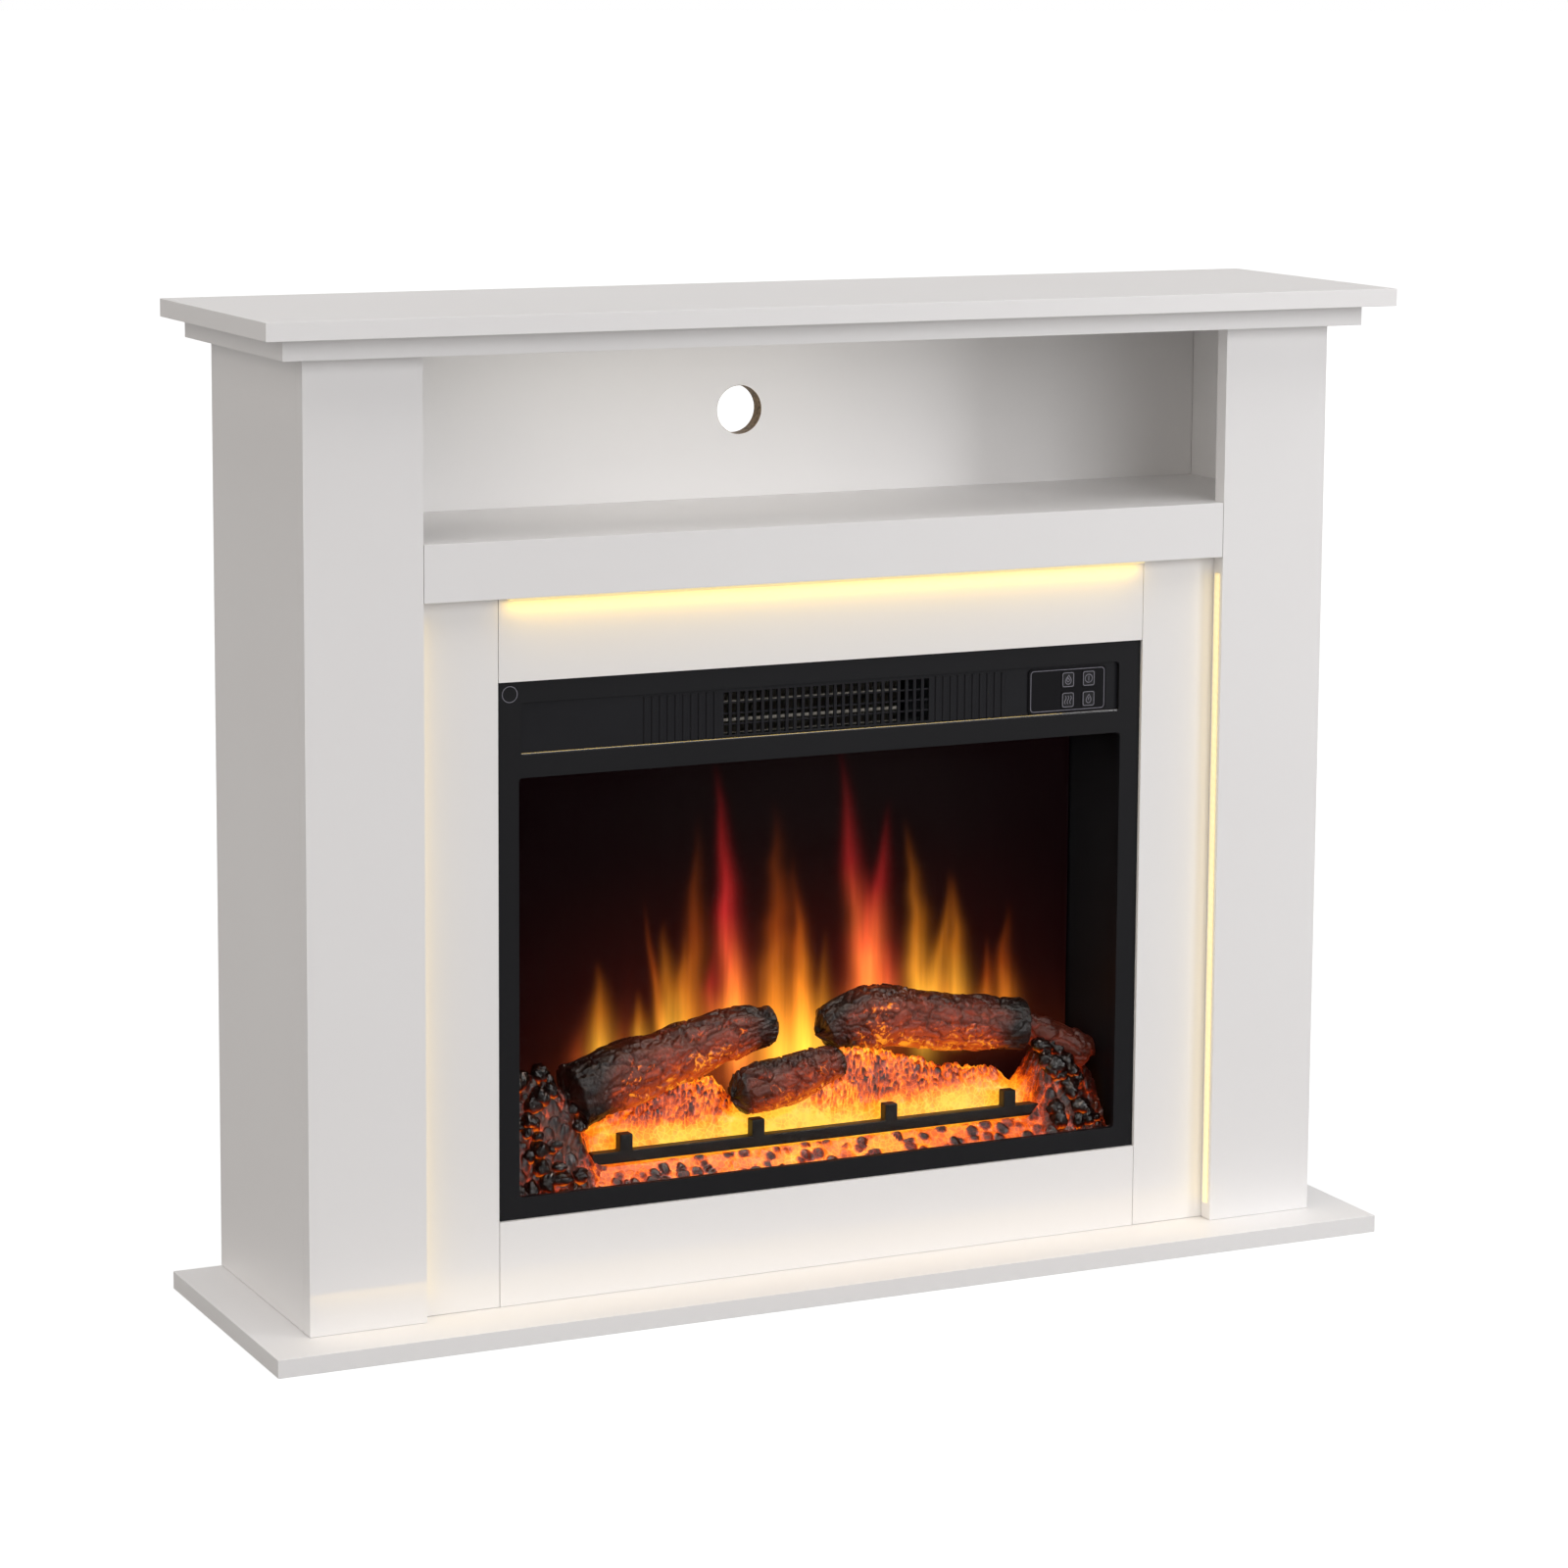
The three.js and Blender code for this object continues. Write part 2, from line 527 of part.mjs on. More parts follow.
function buildRotor() {
  const shaft = rod("x", ROTOR.shaft, [-ROTOR.half - 16, ROTOR.half + 16], [0, 0], 12);
  const length = (2 * ROTOR.half) / ROTOR.vanes;
  const vanes = [];
  for (let i = 0; i < ROTOR.vanes; i++) {
    const left = -ROTOR.half + i * length;
    const vane = block([left, left + length * 0.8], [-ROTOR.vane, ROTOR.vane], [-0.5, 0.5]);
    vanes.push(vane.rotateX((i * Math.PI) / 3 + 0.2));
  }
  add(fire, "flame_rotor", foil, join(shaft, ...vanes), [0, ROTOR.y, ROTOR.z]);

  const axis = [ROTOR.y, ROTOR.z];
  const motorFace = ROTOR.half + 8;
  const can = rod("x", ROTOR_MOTOR.radius, [motorFace, motorFace + ROTOR_MOTOR.length], axis, 32);
  const ear = block(
    [motorFace, motorFace + SHEET],
    [ROTOR.y - ROTOR_MOTOR.ear, ROTOR.y + ROTOR_MOTOR.ear],
    [ROTOR.z - 8, ROTOR.z + 8],
  );
  const foot = block(
    [motorFace, motorFace + ROTOR_MOTOR.length + 6],
    [ROTOR.y - ROTOR_MOTOR.foot, ROTOR.y + ROTOR_MOTOR.foot],
    [CASING.bottom + SHEET + GAP, CASING.bottom + SHEET + GAP + SHEET],
  );
  const web = block(
    [motorFace, motorFace + SHEET],
    [ROTOR.y - ROTOR_MOTOR.foot, ROTOR.y + ROTOR_MOTOR.foot],
    [CASING.bottom + SHEET + GAP, ROTOR.z],
  );
  const socket = rod("x", ROTOR.shaft + GAP, [motorFace - 5, motorFace + 9], axis, 12);
  add(fire, "rotor_motor", motorMetal, cut(join(can, ear, foot, web), socket));

  const bearingFace = -ROTOR.half - 8;
  const bush = rod("x", ROTOR_BUSH.radius, [bearingFace - ROTOR_BUSH.length, bearingFace], axis);
  const stand = block(
    [bearingFace - 6, bearingFace - 6 + SHEET],
    [ROTOR.y - ROTOR_BUSH.stand, ROTOR.y + ROTOR_BUSH.stand],
    [CASING.bottom + SHEET + GAP, ROTOR.z],
  );
  const bore = rod("x", ROTOR.shaft + GAP, [bearingFace - 20, bearingFace + 5], axis, 12);
  add(fire, "rotor_bearing", motorMetal, cut(join(bush, stand), bore));
}

// A strip of circuit board on two feet, with a row of light chips on its top face.
function ledBoard({ half, depths: [front, rear] }) {
  const bottom = CASING.bottom + SHEET + GAP;
  const top = bottom + LED_BOARD.lift + LED_BOARD.thickness;
  const pieces = [block([-half, half], [front, rear], [top - LED_BOARD.thickness, top])];
  for (const x of [-half + 10, half - 18]) {
    pieces.push(block([x, x + 8], [front + 4, rear - 4], [bottom, top - 1]));
  }
  const chip = [-LED_BOARD.chip / 2, LED_BOARD.chip / 2];
  const middle = (front + rear) / 2;
  for (let i = 0; i < LED_BOARD.chips; i++) {
    const x = (2 * half * (i + 0.5)) / LED_BOARD.chips - half;
    const across = chip.map((edge) => x + edge);
    const depth = chip.map((edge) => middle + edge);
    pieces.push(block(across, depth, [top - 0.5, top + 1.4]));
  }
  return join(...pieces);
}

function buildLedBoards() {
  add(fire, "flame_led_board", circuitGreen, ledBoard(FLAME_BOARD));
  add(fire, "ember_led_board", circuitGreen, ledBoard(EMBER_BOARD));
}

// ---- Fire: fuel bed ----
const leftLog = [
  [-262, 66, 96, 25],
  [-185, 76, 113, 27],
  [-90, 86, 131, 27],
  [-14, 94, 143, 21],
];
const rightLog = [
  [34, 92, 132, 14],
  [104, 90, 142, 25],
  [180, 85, 122, 25],
  [256, 76, 106, 25],
  [328, 52, 78, 19],
];
const middleLog = [
  [-78, 57, 71, 14],
  [-50, 60, 82, 19],
  [50, 68, 108, 17],
];

// Each rest reaches up from the bed to just under a log: [x, y, height of its top].
const BED_RESTS = [
  [-215, 78, 74],
  [-60, 100, 100],
  [90, 94, 108],
  [245, 84, 74],
  [-70, 64, 53],
  [30, 68, 80],
];
const REST = { radius: 11, foot: 38 };

// The bed is a moulded shell, open underneath and at its ends, with rests under the logs.
function buildEmberBed() {
  const { wall, foot, front, ledge, slope, rear } = BED;
  const back = rear[0] + 2;
  const shell = new THREE.Shape();
  shell.moveTo(front[0], foot);
  shell.lineTo(...front);
  shell.quadraticCurveTo(30, ledge[1], ...ledge);
  shell.lineTo(...slope);
  shell.quadraticCurveTo(90, 62, ...rear);
  shell.lineTo(back, foot);
  shell.lineTo(back - wall, foot);
  shell.lineTo(rear[0] - wall, rear[1] - wall);
  shell.quadraticCurveTo(90, 62 - 1.5 * wall, slope[0], slope[1] - wall);
  shell.lineTo(ledge[0], ledge[1] - wall);
  shell.quadraticCurveTo(30, ledge[1] - wall, front[0] + wall, front[1] - wall);
  shell.lineTo(front[0] + wall, foot);
  const bed = drawnOut(shell, [-BED.half, BED.half]);
  const rests = BED_RESTS.map(([x, y, top]) => rod("z", REST.radius, [REST.foot, top], [x, y], 10));
  add(fire, "ember_bed", emberResin, join(bed, ...rests));
}

function buildLogs() {
  add(fire, "left_log", resinLog, roughBar(leftLog));
  add(fire, "right_log", resinLog, roughBar(rightLog));
  add(fire, "middle_log", resinLog, roughBar(middleLog));
}

function buildGrate() {
  const depth = [GRATE.front, GRATE.front + GRATE.size];
  const barTop = GRATE.bottom + GRATE.size;
  const bar = block([GRATE.left, GRATE.right], depth, [GRATE.bottom, barTop]);
  const lugs = GRATE_LUGS.map((x) =>
    block([x - GRATE.lug / 2, x + GRATE.lug / 2], depth, [barTop - 1, GRATE.lugTop]),
  );
  add(fire, "grate_bar", blackSteel, join(bar, ...lugs));
}

// ---- Fire: fan heater ----
function buildDuct() {
  const across = [-DUCT.half, DUCT.half];
  const depth = [DUCT.front, DUCT.rear];
  const heights = [DUCT.bottom, DUCT.top];
  const inside = block(grown(across, -SHEET), grown(depth, 1), grown(heights, -SHEET));
  add(fire, "heater_duct", greySteel, cut(block(across, depth, heights), inside));
  const roof = DUCT.top + GAP;
  const axis = [CUTOUT.y, roof + CUTOUT.radius];
  const cutout = rod("x", CUTOUT.radius, CUTOUT.across, axis, 12);
  const tab = block(CUTOUT.tab.across, CUTOUT.tab.depth, [roof, roof + SHEET]);
  add(fire, "thermal_cutout", motorMetal, join(cutout, tab));
}

function buildElement() {
  const { left, right, front, rear, bottom, top, fins } = ELEMENT;
  const pieces = [
    block([left, left + 4], [front, rear], [bottom, top]),
    block([right - 4, right], [front, rear], [bottom, top]),
  ];
  for (const z of [bottom + 10, top - 10]) {
    pieces.push(block([left, right], [front + 4, rear - 4], [z - 2, z + 2]));
  }
  for (let i = 1; i < fins; i++) {
    const x = left + ((right - left) * i) / fins;
    pieces.push(block([x - 0.5, x + 0.5], [front + 1, rear - 1], [bottom + 1, top - 1]));
  }
  add(fire, "heating_element", foil, join(...pieces));
}

function buildBlower() {
  const blades = [];
  for (let i = 0; i < BLOWER.blades; i++) {
    const blade = block([-BLOWER.half, BLOWER.half], [-0.5, 0.5], [-3, 3]);
    blade.rotateX(0.5).translate(0, 0, BLOWER.radius - 4.2);
    blades.push(blade.rotateX((2 * Math.PI * i) / BLOWER.blades));
  }
  const discs = [-BLOWER.half, BLOWER.half - 2].map((x) =>
    rod("x", BLOWER.radius, [x, x + 2], [0, 0], 36),
  );
  const shaft = rod("x", BLOWER.shaft, [-BLOWER.half - 8, BLOWER.half + 18], [0, 0], 12);
  const rotor = join(shaft, ...discs, ...blades);
  add(fire, "blower_rotor", motorMetal, rotor, [0, BLOWER.y, BLOWER.z]);
}

// The housing's sheet leaves the duct's roof, goes round the rotor's back and ends below it.
function buildBlowerHousing() {
  const inner = BLOWER.radius + 3;
  const outer = inner + SHEET;
  const scroll = new THREE.Shape();
  const lowEnd = -Math.PI * 0.62;
  scroll.moveTo(DUCT.rear + GAP, BLOWER.z + outer);
  scroll.lineTo(DUCT.rear + GAP, BLOWER.z + inner);
  scroll.lineTo(BLOWER.y, BLOWER.z + inner);
  scroll.absarc(BLOWER.y, BLOWER.z, inner, Math.PI / 2, lowEnd, true);
  scroll.absarc(BLOWER.y, BLOWER.z, outer, lowEnd, Math.PI / 2, false);
  const sheet = drawnOut(scroll, [-BLOWER.half - 3, BLOWER.half + 3], 16);
  const ends = [-1, 1].map((sign) => {
    const across = onSide(sign, BLOWER.half + 1.8, BLOWER.half + 3.3);
    const cheek = rod("x", outer - 0.4, across, [BLOWER.y, BLOWER.z], 36);
    const bore = rod("x", BLOWER.shaft + GAP, grown(across, 2), [BLOWER.y, BLOWER.z], 12);
    return cut(cheek, bore);
  });
  add(fire, "blower_housing", greySteel, join(sheet, ...ends));
  const axis = [BLOWER.y, BLOWER.z];
  const face = BLOWER.half + 9;
  const can = rod("x", BLOWER_MOTOR.radius, [face, face + BLOWER_MOTOR.length], axis, 32);
  const plate = block(
    [face, face + SHEET],
    [BLOWER.y - BLOWER_MOTOR.foot, BLOWER.y + BLOWER_MOTOR.foot],
    [DECK_HEIGHT + SHEET + GAP, BLOWER.z],
  );
  const foot = block(
    [face, face + BLOWER_MOTOR.length - 2],
    [BLOWER.y - BLOWER_MOTOR.foot, BLOWER.y + BLOWER_MOTOR.foot],
    [DECK_HEIGHT + SHEET + GAP, DECK_HEIGHT + 2 * SHEET + GAP],
  );
  const socket = rod("x", BLOWER.shaft + GAP, [face - 5, face + 12], axis, 12);
  add(fire, "blower_motor", motorMetal, cut(join(can, plate, foot), socket));
}

// ---- Fire: fixing to the mantelpiece ----
function buildBrackets() {
  const wingFront = BOARD - FIRE.recess + GAP;
  for (const [side, sign] of [["left", -1], ["right", 1]]) {
    const root = CASING.half + 8 + GAP;
    const heights = [BRACKET.bottom, BRACKET.top];
    const wing = block(onSide(sign, root, root + BRACKET.wing), [wingFront, wingFront + SHEET], heights);
    const leg = block(onSide(sign, root, root + SHEET), [wingFront, wingFront + BRACKET.leg], heights);
    const holes = screwHeights.map((z) =>
      rod(
        "y",
        SCREW.shank + GAP,
        [wingFront - 2, wingFront + 5],
        [sign * screwX, z - fire.position.z],
        12,
      ),
    );
    add(fire, side + "_bracket", greySteel, cut(join(wing, leg), ...holes));
    screwHeights.forEach((z, i) => {
      const headFront = wingFront + SHEET + GAP;
      const shank = rod("y", SCREW.shank, [headFront - SCREW.length, headFront + 1], [0, 0], 12);
      const head = rod("y", SCREW.head, [headFront, headFront + SCREW.headHeight], [0, 0], 16);
      const place = [sign * screwX, 0, z - fire.position.z];
      const name = side + "_bracket_screw_" + (i + 1);
      add(fire, name, greySteel, join(shank, head), place);
    });
  }
}

buildTopAndBase();
buildSides();
buildShelf();
buildFascia();
buildRearRails();
buildLightStrips();
buildDriver();
buildBezel();
buildOutletFascia();
buildControls();
buildControlBoard();
buildGlass();
buildCasing();
buildRearCover();
buildScreens();
buildRotor();
buildLedBoards();
buildEmberBed();
buildLogs();
buildGrate();
buildDuct();
buildElement();
buildBlower();
buildBlowerHousing();
buildBrackets();

fireplace.position.y = BASE.depth / 2;

export default fireplace;
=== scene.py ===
"""White fireplace surround with a glowing electric insert.

The boards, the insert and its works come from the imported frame. This file gives them
their finishes and adds what only shows in the looks: flames, embers, logs and coals.
"""

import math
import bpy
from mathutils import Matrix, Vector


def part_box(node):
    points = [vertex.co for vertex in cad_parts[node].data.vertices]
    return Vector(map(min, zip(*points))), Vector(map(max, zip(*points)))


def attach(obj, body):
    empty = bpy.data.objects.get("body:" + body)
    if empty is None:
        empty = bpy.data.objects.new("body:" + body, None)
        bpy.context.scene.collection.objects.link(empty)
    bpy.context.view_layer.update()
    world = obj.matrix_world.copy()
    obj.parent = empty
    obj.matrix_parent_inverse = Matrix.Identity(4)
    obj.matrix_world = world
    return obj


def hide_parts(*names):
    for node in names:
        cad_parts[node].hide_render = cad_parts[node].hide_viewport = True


bl_info = {
    "name": "Electric Fireplace",
    "version": (1, 0, 0),
    "blender": (4, 5, 0),
    "location": "3D View > Sidebar > Fireplace",
    "description": "Dresses a fireplace surround and its electric insert",
    "category": "Object",
}

import bmesh
import bpy
import numpy as np
from bpy.props import FloatProperty, FloatVectorProperty, IntProperty, PointerProperty
from mathutils import Matrix, Vector

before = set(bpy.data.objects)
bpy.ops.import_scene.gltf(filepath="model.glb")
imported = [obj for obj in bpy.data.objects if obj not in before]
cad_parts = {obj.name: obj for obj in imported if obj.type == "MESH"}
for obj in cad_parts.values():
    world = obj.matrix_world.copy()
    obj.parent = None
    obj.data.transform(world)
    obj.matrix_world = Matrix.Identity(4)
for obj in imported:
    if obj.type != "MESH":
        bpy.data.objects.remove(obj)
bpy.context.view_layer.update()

MM = 0.001
SLOT_OF = {name: node.material_slots[0].material.name for name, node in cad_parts.items()}
FIRE_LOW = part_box("insert_frame")[0]
HOLE_CENTRE = (0.0, 0.8705)
HOLE_RADIUS = 0.025
# Printed ink stands this far off a button or a plate, and a little further off the bezel's grit.
INK_LIFT = 0.00004
RING_LIFT = 0.00006
# The pitch of the folds in the heater's foil, its thickness, and the gap to the bars' faces.
FOLD_PITCH = 0.0026
FOIL_THICKNESS = 0.00025
BAR_INSET = 0.0004
# Where the folded bands and the bars between them lie, as shares of the heater's height.
FOLD_BANDS = ((0.02, 0.27), (0.36, 0.70), (0.79, 0.98))
HEATER_BARS = ((0.0, 0.02), (0.28, 0.35), (0.71, 0.78), (0.98, 1.0))
ROOT = "mantelpiece"

BOARDS = (
    "top_board",
    "under_moulding",
    "base_board",
    "left_side_panel",
    "right_side_panel",
    "left_pilaster_board",
    "right_pilaster_board",
    "niche_shelf",
    "niche_back_panel",
    "beam_front",
    "upper_fascia",
    "lower_fascia",
    "left_fascia",
    "right_fascia",
    "rear_shelf_rail",
    "rear_base_rail",
)
STRIPS = ("led_strip_left", "led_strip_right", "led_strip_beam")
BUTTONS = {
    "button_power": "power_button",
    "button_flame": "flame_button",
    "button_heat": "heat_button",
    "button_embers": "ember_button",
}
WORKS = (
    "led_driver",
    "control_board",
    "casing_tray",
    "casing_top",
    "heater_deck",
    "rear_cover",
    "mains_gland",
    "flame_mask",
    "flame_rotor",
    "rotor_motor",
    "rotor_bearing",
    "flame_led_board",
    "ember_led_board",
    "heater_duct",
    "thermal_cutout",
    "blower_rotor",
    "blower_housing",
    "blower_motor",
    "left_bracket",
    "right_bracket",
    "left_bracket_screw_1",
    "left_bracket_screw_2",
    "right_bracket_screw_1",
    "right_bracket_screw_2",
)


# ---------------------------------------------------------------- values


def to_linear(colour):
    """An sRGB hex colour as linear red, green, blue and alpha."""
    parts = [int(colour[place : place + 2], 16) / 255 for place in (1, 3, 5)]
    linear = [part / 12.92 if part <= 0.04045 else ((part + 0.055) / 1.055) ** 2.4 for part in parts]
    return (*linear, 1.0)


def colour_property(name, description, colour):
    """A colour that a user can change."""
    return FloatVectorProperty(
        name=name,
        description=description,
        default=to_linear(colour),
        subtype="COLOR",
        size=4,
        min=0,
        max=1,
    )


class FireplaceColours(bpy.types.PropertyGroup):
    """The colours of the surround, the insert and the fire."""

    board: colour_property("Board", "Face of the melamine boards", "#F2F1F0")
    bezel: colour_property("Bezel", "Powder coat on the steel frame", "#111114")
    plastic: colour_property("Plastic", "Moulded outlet fascia", "#121216")
    strip: colour_property("Light strip", "Glow of the strips round the opening", "#FFD84A")
    symbol: colour_property("Symbols", "Ink of the marks on the buttons", "#8E8C96")
    bark: colour_property("Bark", "Red-brown of the moulded logs", "#7A3219")
    char: colour_property("Char", "Burnt ends and coals", "#100D0C")


class FireplaceSizes(bpy.types.PropertyGroup):
    """Sizes and strengths of the details."""

    board_edge: FloatProperty(
        name="Board edge",
        description="Rounding of the board edges",
        default=0.0006,
        unit="LENGTH",
    )
    steel_edge: FloatProperty(
        name="Steel edge",
        description="Rounding of the folded steel and moulded plastic edges",
        default=0.0007,
        unit="LENGTH",
    )
    chip_pitch: FloatProperty(
        name="Chip pitch",
        description="Distance between the light chips in a strip",
        default=0.0083,
        unit="LENGTH",
    )
    strip_power: FloatProperty(
        name="Strip power",
        description="Light given off by a metre of strip, in watts",
        default=0.016,
    )
    ember_power: FloatProperty(
        name="Ember power",
        description="Brightness of the ember bed",
        default=1.15,
    )
    flame_power: FloatProperty(
        name="Flame power",
        description="Brightness of the flames on the screen",
        default=1.0,
    )
    seed: IntProperty(
        name="Seed",
        description="Picks the pattern of the coals",
        default=7,
    )


# ---------------------------------------------------------------- nodes


def set_inputs(node, inputs):
    """Sets or links a node's sockets."""
    for name, value in inputs.items():
        if isinstance(value, bpy.types.NodeSocket):
            node.id_data.links.new(value, node.inputs[name])
        else:
            node.inputs[name].default_value = value


def add_node(tree, kind, inputs=None, **settings):
    """Adds a node with its settings and links."""
    made = tree.nodes.new(kind)
    for name, value in settings.items():
        setattr(made, name, value)
    set_inputs(made, inputs or {})
    return made


def set_ramp(node, *stops):
    """Puts a colour ramp's stops at (place, hex colour)."""
    elements = node.color_ramp.elements
    while len(elements) > 1:
        elements.remove(elements[-1])
    elements[0].position = stops[0][0]
    elements[0].color = to_linear(stops[0][1])
    for place, colour in stops[1:]:
        elements.new(place).color = to_linear(colour)
    return node.outputs["Color"]


def start_material(name):
    """An empty node material with its shader joined to its output."""
    material = bpy.data.materials.new(name)
    material.use_nodes = True
    tree = material.node_tree
    tree.nodes.clear()
    shader = add_node(tree, "ShaderNodeBsdfPrincipled")
    add_node(tree, "ShaderNodeOutputMaterial", {"Surface": shader.outputs["BSDF"]})
    place = add_node(tree, "ShaderNodeTexCoord").outputs["Object"]
    return material, tree, shader, place


# ---------------------------------------------------------------- finishes


def satin_melamine_board(name):
    """Chipboard faced with melamine paper, pressed against a satin plate.

    The eye gets an even white with a broad soft highlight, and brown chips inside the
    bored hole, where the board has no facing.
    """
    material, tree, shader, place = start_material(name)
    colours = bpy.context.scene.fireplace_colours
    # The plate's orange peel is about 1.2 mm across, and the paper's tone drifts over 250 mm.
    peel = add_node(tree, "ShaderNodeTexNoise", {"Vector": place, "Scale": 830.0, "Detail": 2.0})
    drift = add_node(tree, "ShaderNodeTexNoise", {"Vector": place, "Scale": 4.0, "Detail": 1.0})
    face = add_node(
        tree,
        "ShaderNodeMix",
        {0: drift.outputs[0], 6: colours.board, 7: to_linear("#EEECEB")},
        data_type="RGBA",
    )
    # Chips of pine 2 to 4 mm long show where the drill went through.
    chips = add_node(tree, "ShaderNodeTexVoronoi", {"Vector": place, "Scale": 420.0, "Randomness": 1.0})
    flakes = set_ramp(
        add_node(tree, "ShaderNodeValToRGB", {"Fac": chips.outputs["Color"]}),
        (0.0, "#5E4A34"),
        (0.45, "#8C7354"),
        (1.0, "#B59A76"),
    )
    middle = (HOLE_CENTRE[0], 0.0, HOLE_CENTRE[1])
    flat = add_node(tree, "ShaderNodeVectorMath", {0: place, 1: (1.0, 0.0, 1.0)}, operation="MULTIPLY")
    reach = add_node(tree, "ShaderNodeVectorMath", {0: flat.outputs[0], 1: middle}, operation="DISTANCE")
    near = add_node(
        tree,
        "ShaderNodeMath",
        {0: reach.outputs["Value"], 1: HOLE_RADIUS + 0.0004},
        operation="LESS_THAN",
    )
    bored = add_node(
        tree,
        "ShaderNodeMix",
        {0: near.outputs[0], 6: face.outputs[2], 7: flakes},
        data_type="RGBA",
    )
    gloss = add_node(
        tree,
        "ShaderNodeMapRange",
        {"Value": peel.outputs[0], "To Min": 0.36, "To Max": 0.48},
    )
    bump = add_node(
        tree,
        "ShaderNodeBump",
        {"Height": peel.outputs[0], "Strength": 0.12, "Distance": 0.0002},
    )
    set_inputs(
        shader,
        {
            "Base Color": bored.outputs[2],
            "Roughness": gloss.outputs[0],
            "Normal": bump.outputs[0],
            "IOR": 1.5,
        },
    )
    return material


def milky_silicone_light_strip(name):
    """Silicone tube over a row of warm light chips.

    The eye gets a soft warm line with a faint brighter spot over each chip.
    """
    material, tree, shader, place = start_material(name)
    colours = bpy.context.scene.fireplace_colours
    sizes = bpy.context.scene.fireplace_sizes
    # The same beat runs along the upright strips and the one under the beam.
    split = add_node(tree, "ShaderNodeSeparateXYZ", {"Vector": place})
    along = add_node(
        tree,
        "ShaderNodeMath",
        {0: split.outputs["X"], 1: split.outputs["Z"]},
        operation="ADD",
    )
    turn = add_node(
        tree,
        "ShaderNodeMath",
        {0: along.outputs[0], 1: 2 * math.pi / sizes.chip_pitch},
        operation="MULTIPLY",
    )
    beat = add_node(tree, "ShaderNodeMath", {0: turn.outputs[0]}, operation="SINE")
    level = add_node(
        tree,
        "ShaderNodeMapRange",
        {"Value": beat.outputs[0], "From Min": -1.0, "To Min": 0.42, "To Max": 0.62},
    )
    set_inputs(
        shader,
        {
            "Base Color": to_linear("#F4F0E4"),
            "Roughness": 0.45,
            "IOR": 1.41,
            "Emission Color": colours.strip,
            "Emission Strength": level.outputs[0],
        },
    )
    material.cycles.emission_sampling = "NONE"
    return material


def powder_coated_steel(name):
    """Folded mild steel under black fine-texture polyester powder.

    The eye gets a near-black with a wide grey sheen that breaks up into fine grit.
    """
    material, tree, shader, place = start_material(name)
    colours = bpy.context.scene.fireplace_colours
    # Powder grit is about 0.5 mm across.
    grit = add_node(tree, "ShaderNodeTexNoise", {"Vector": place, "Scale": 2000.0, "Detail": 3.0})
    drift = add_node(tree, "ShaderNodeTexNoise", {"Vector": place, "Scale": 9.0, "Detail": 2.0})
    tone = add_node(
        tree,
        "ShaderNodeMix",
        {0: drift.outputs[0], 6: colours.bezel, 7: to_linear("#161619")},
        data_type="RGBA",
    )
    gloss = add_node(
        tree,
        "ShaderNodeMapRange",
        {"Value": grit.outputs[0], "To Min": 0.42, "To Max": 0.58},
    )
    bump = add_node(
        tree,
        "ShaderNodeBump",
        {"Height": grit.outputs[0], "Strength": 0.25, "Distance": 0.0001},
    )
    set_inputs(
        shader,
        {
            "Base Color": tone.outputs[2],
            "Roughness": gloss.outputs[0],
            "Normal": bump.outputs[0],
            "IOR": 1.5,
            "Specular IOR Level": 0.22,
        },
    )
    return material


def spark_textured_abs(name):
    """Black ABS moulded in a spark-eroded tool.

    The eye gets a dull black that is a touch smoother than the powder coat beside it.
    """
    material, tree, shader, place = start_material(name)
    colours = bpy.context.scene.fireplace_colours
    # The tool's craters are about 0.3 mm wide.
    craters = add_node(tree, "ShaderNodeTexVoronoi", {"Vector": place, "Scale": 3300.0})
    drift = add_node(tree, "ShaderNodeTexNoise", {"Vector": place, "Scale": 14.0, "Detail": 2.0})
    tone = add_node(
        tree,
        "ShaderNodeMix",
        {0: drift.outputs[0], 6: colours.plastic, 7: to_linear("#17171B")},
        data_type="RGBA",
    )
    gloss = add_node(
        tree,
        "ShaderNodeMapRange",
        {"Value": drift.outputs[0], "To Min": 0.36, "To Max": 0.46},
    )
    bump = add_node(
        tree,
        "ShaderNodeBump",
        {"Height": craters.outputs[0], "Strength": 0.15, "Distance": 0.0001},
    )
    set_inputs(
        shader,
        {
            "Base Color": tone.outputs[2],
            "Roughness": gloss.outputs[0],
            "Normal": bump.outputs[0],
            "IOR": 1.53,
            "Specular IOR Level": 0.22,
        },
    )
    return material


def film_covered_panel(name):
    """Polycarbonate film over a moulded plate, back-printed black.

    The eye gets a deeper, closer black than the fascia, with a soft glint.
    """
    material, tree, shader, place = start_material(name)
    # Film has an egg-shell skin of about 0.8 mm.
    shell = add_node(tree, "ShaderNodeTexNoise", {"Vector": place, "Scale": 1250.0, "Detail": 1.0})
    tone = set_ramp(
        add_node(tree, "ShaderNodeValToRGB", {"Fac": shell.outputs[0]}),
        (0.3, "#0D0D10"),
        (0.7, "#121115"),
    )
    bump = add_node(
        tree,
        "ShaderNodeBump",
        {"Height": shell.outputs[0], "Strength": 0.06, "Distance": 0.0001},
    )
    gloss = add_node(
        tree,
        "ShaderNodeMapRange",
        {"Value": shell.outputs[0], "To Min": 0.26, "To Max": 0.34},
    )
    set_inputs(
        shader,
        {
            "Base Color": tone,
            "Roughness": gloss.outputs[0],
            "Normal": bump.outputs[0],
            "IOR": 1.58,
            "Specular IOR Level": 0.15,
        },
    )
    return material


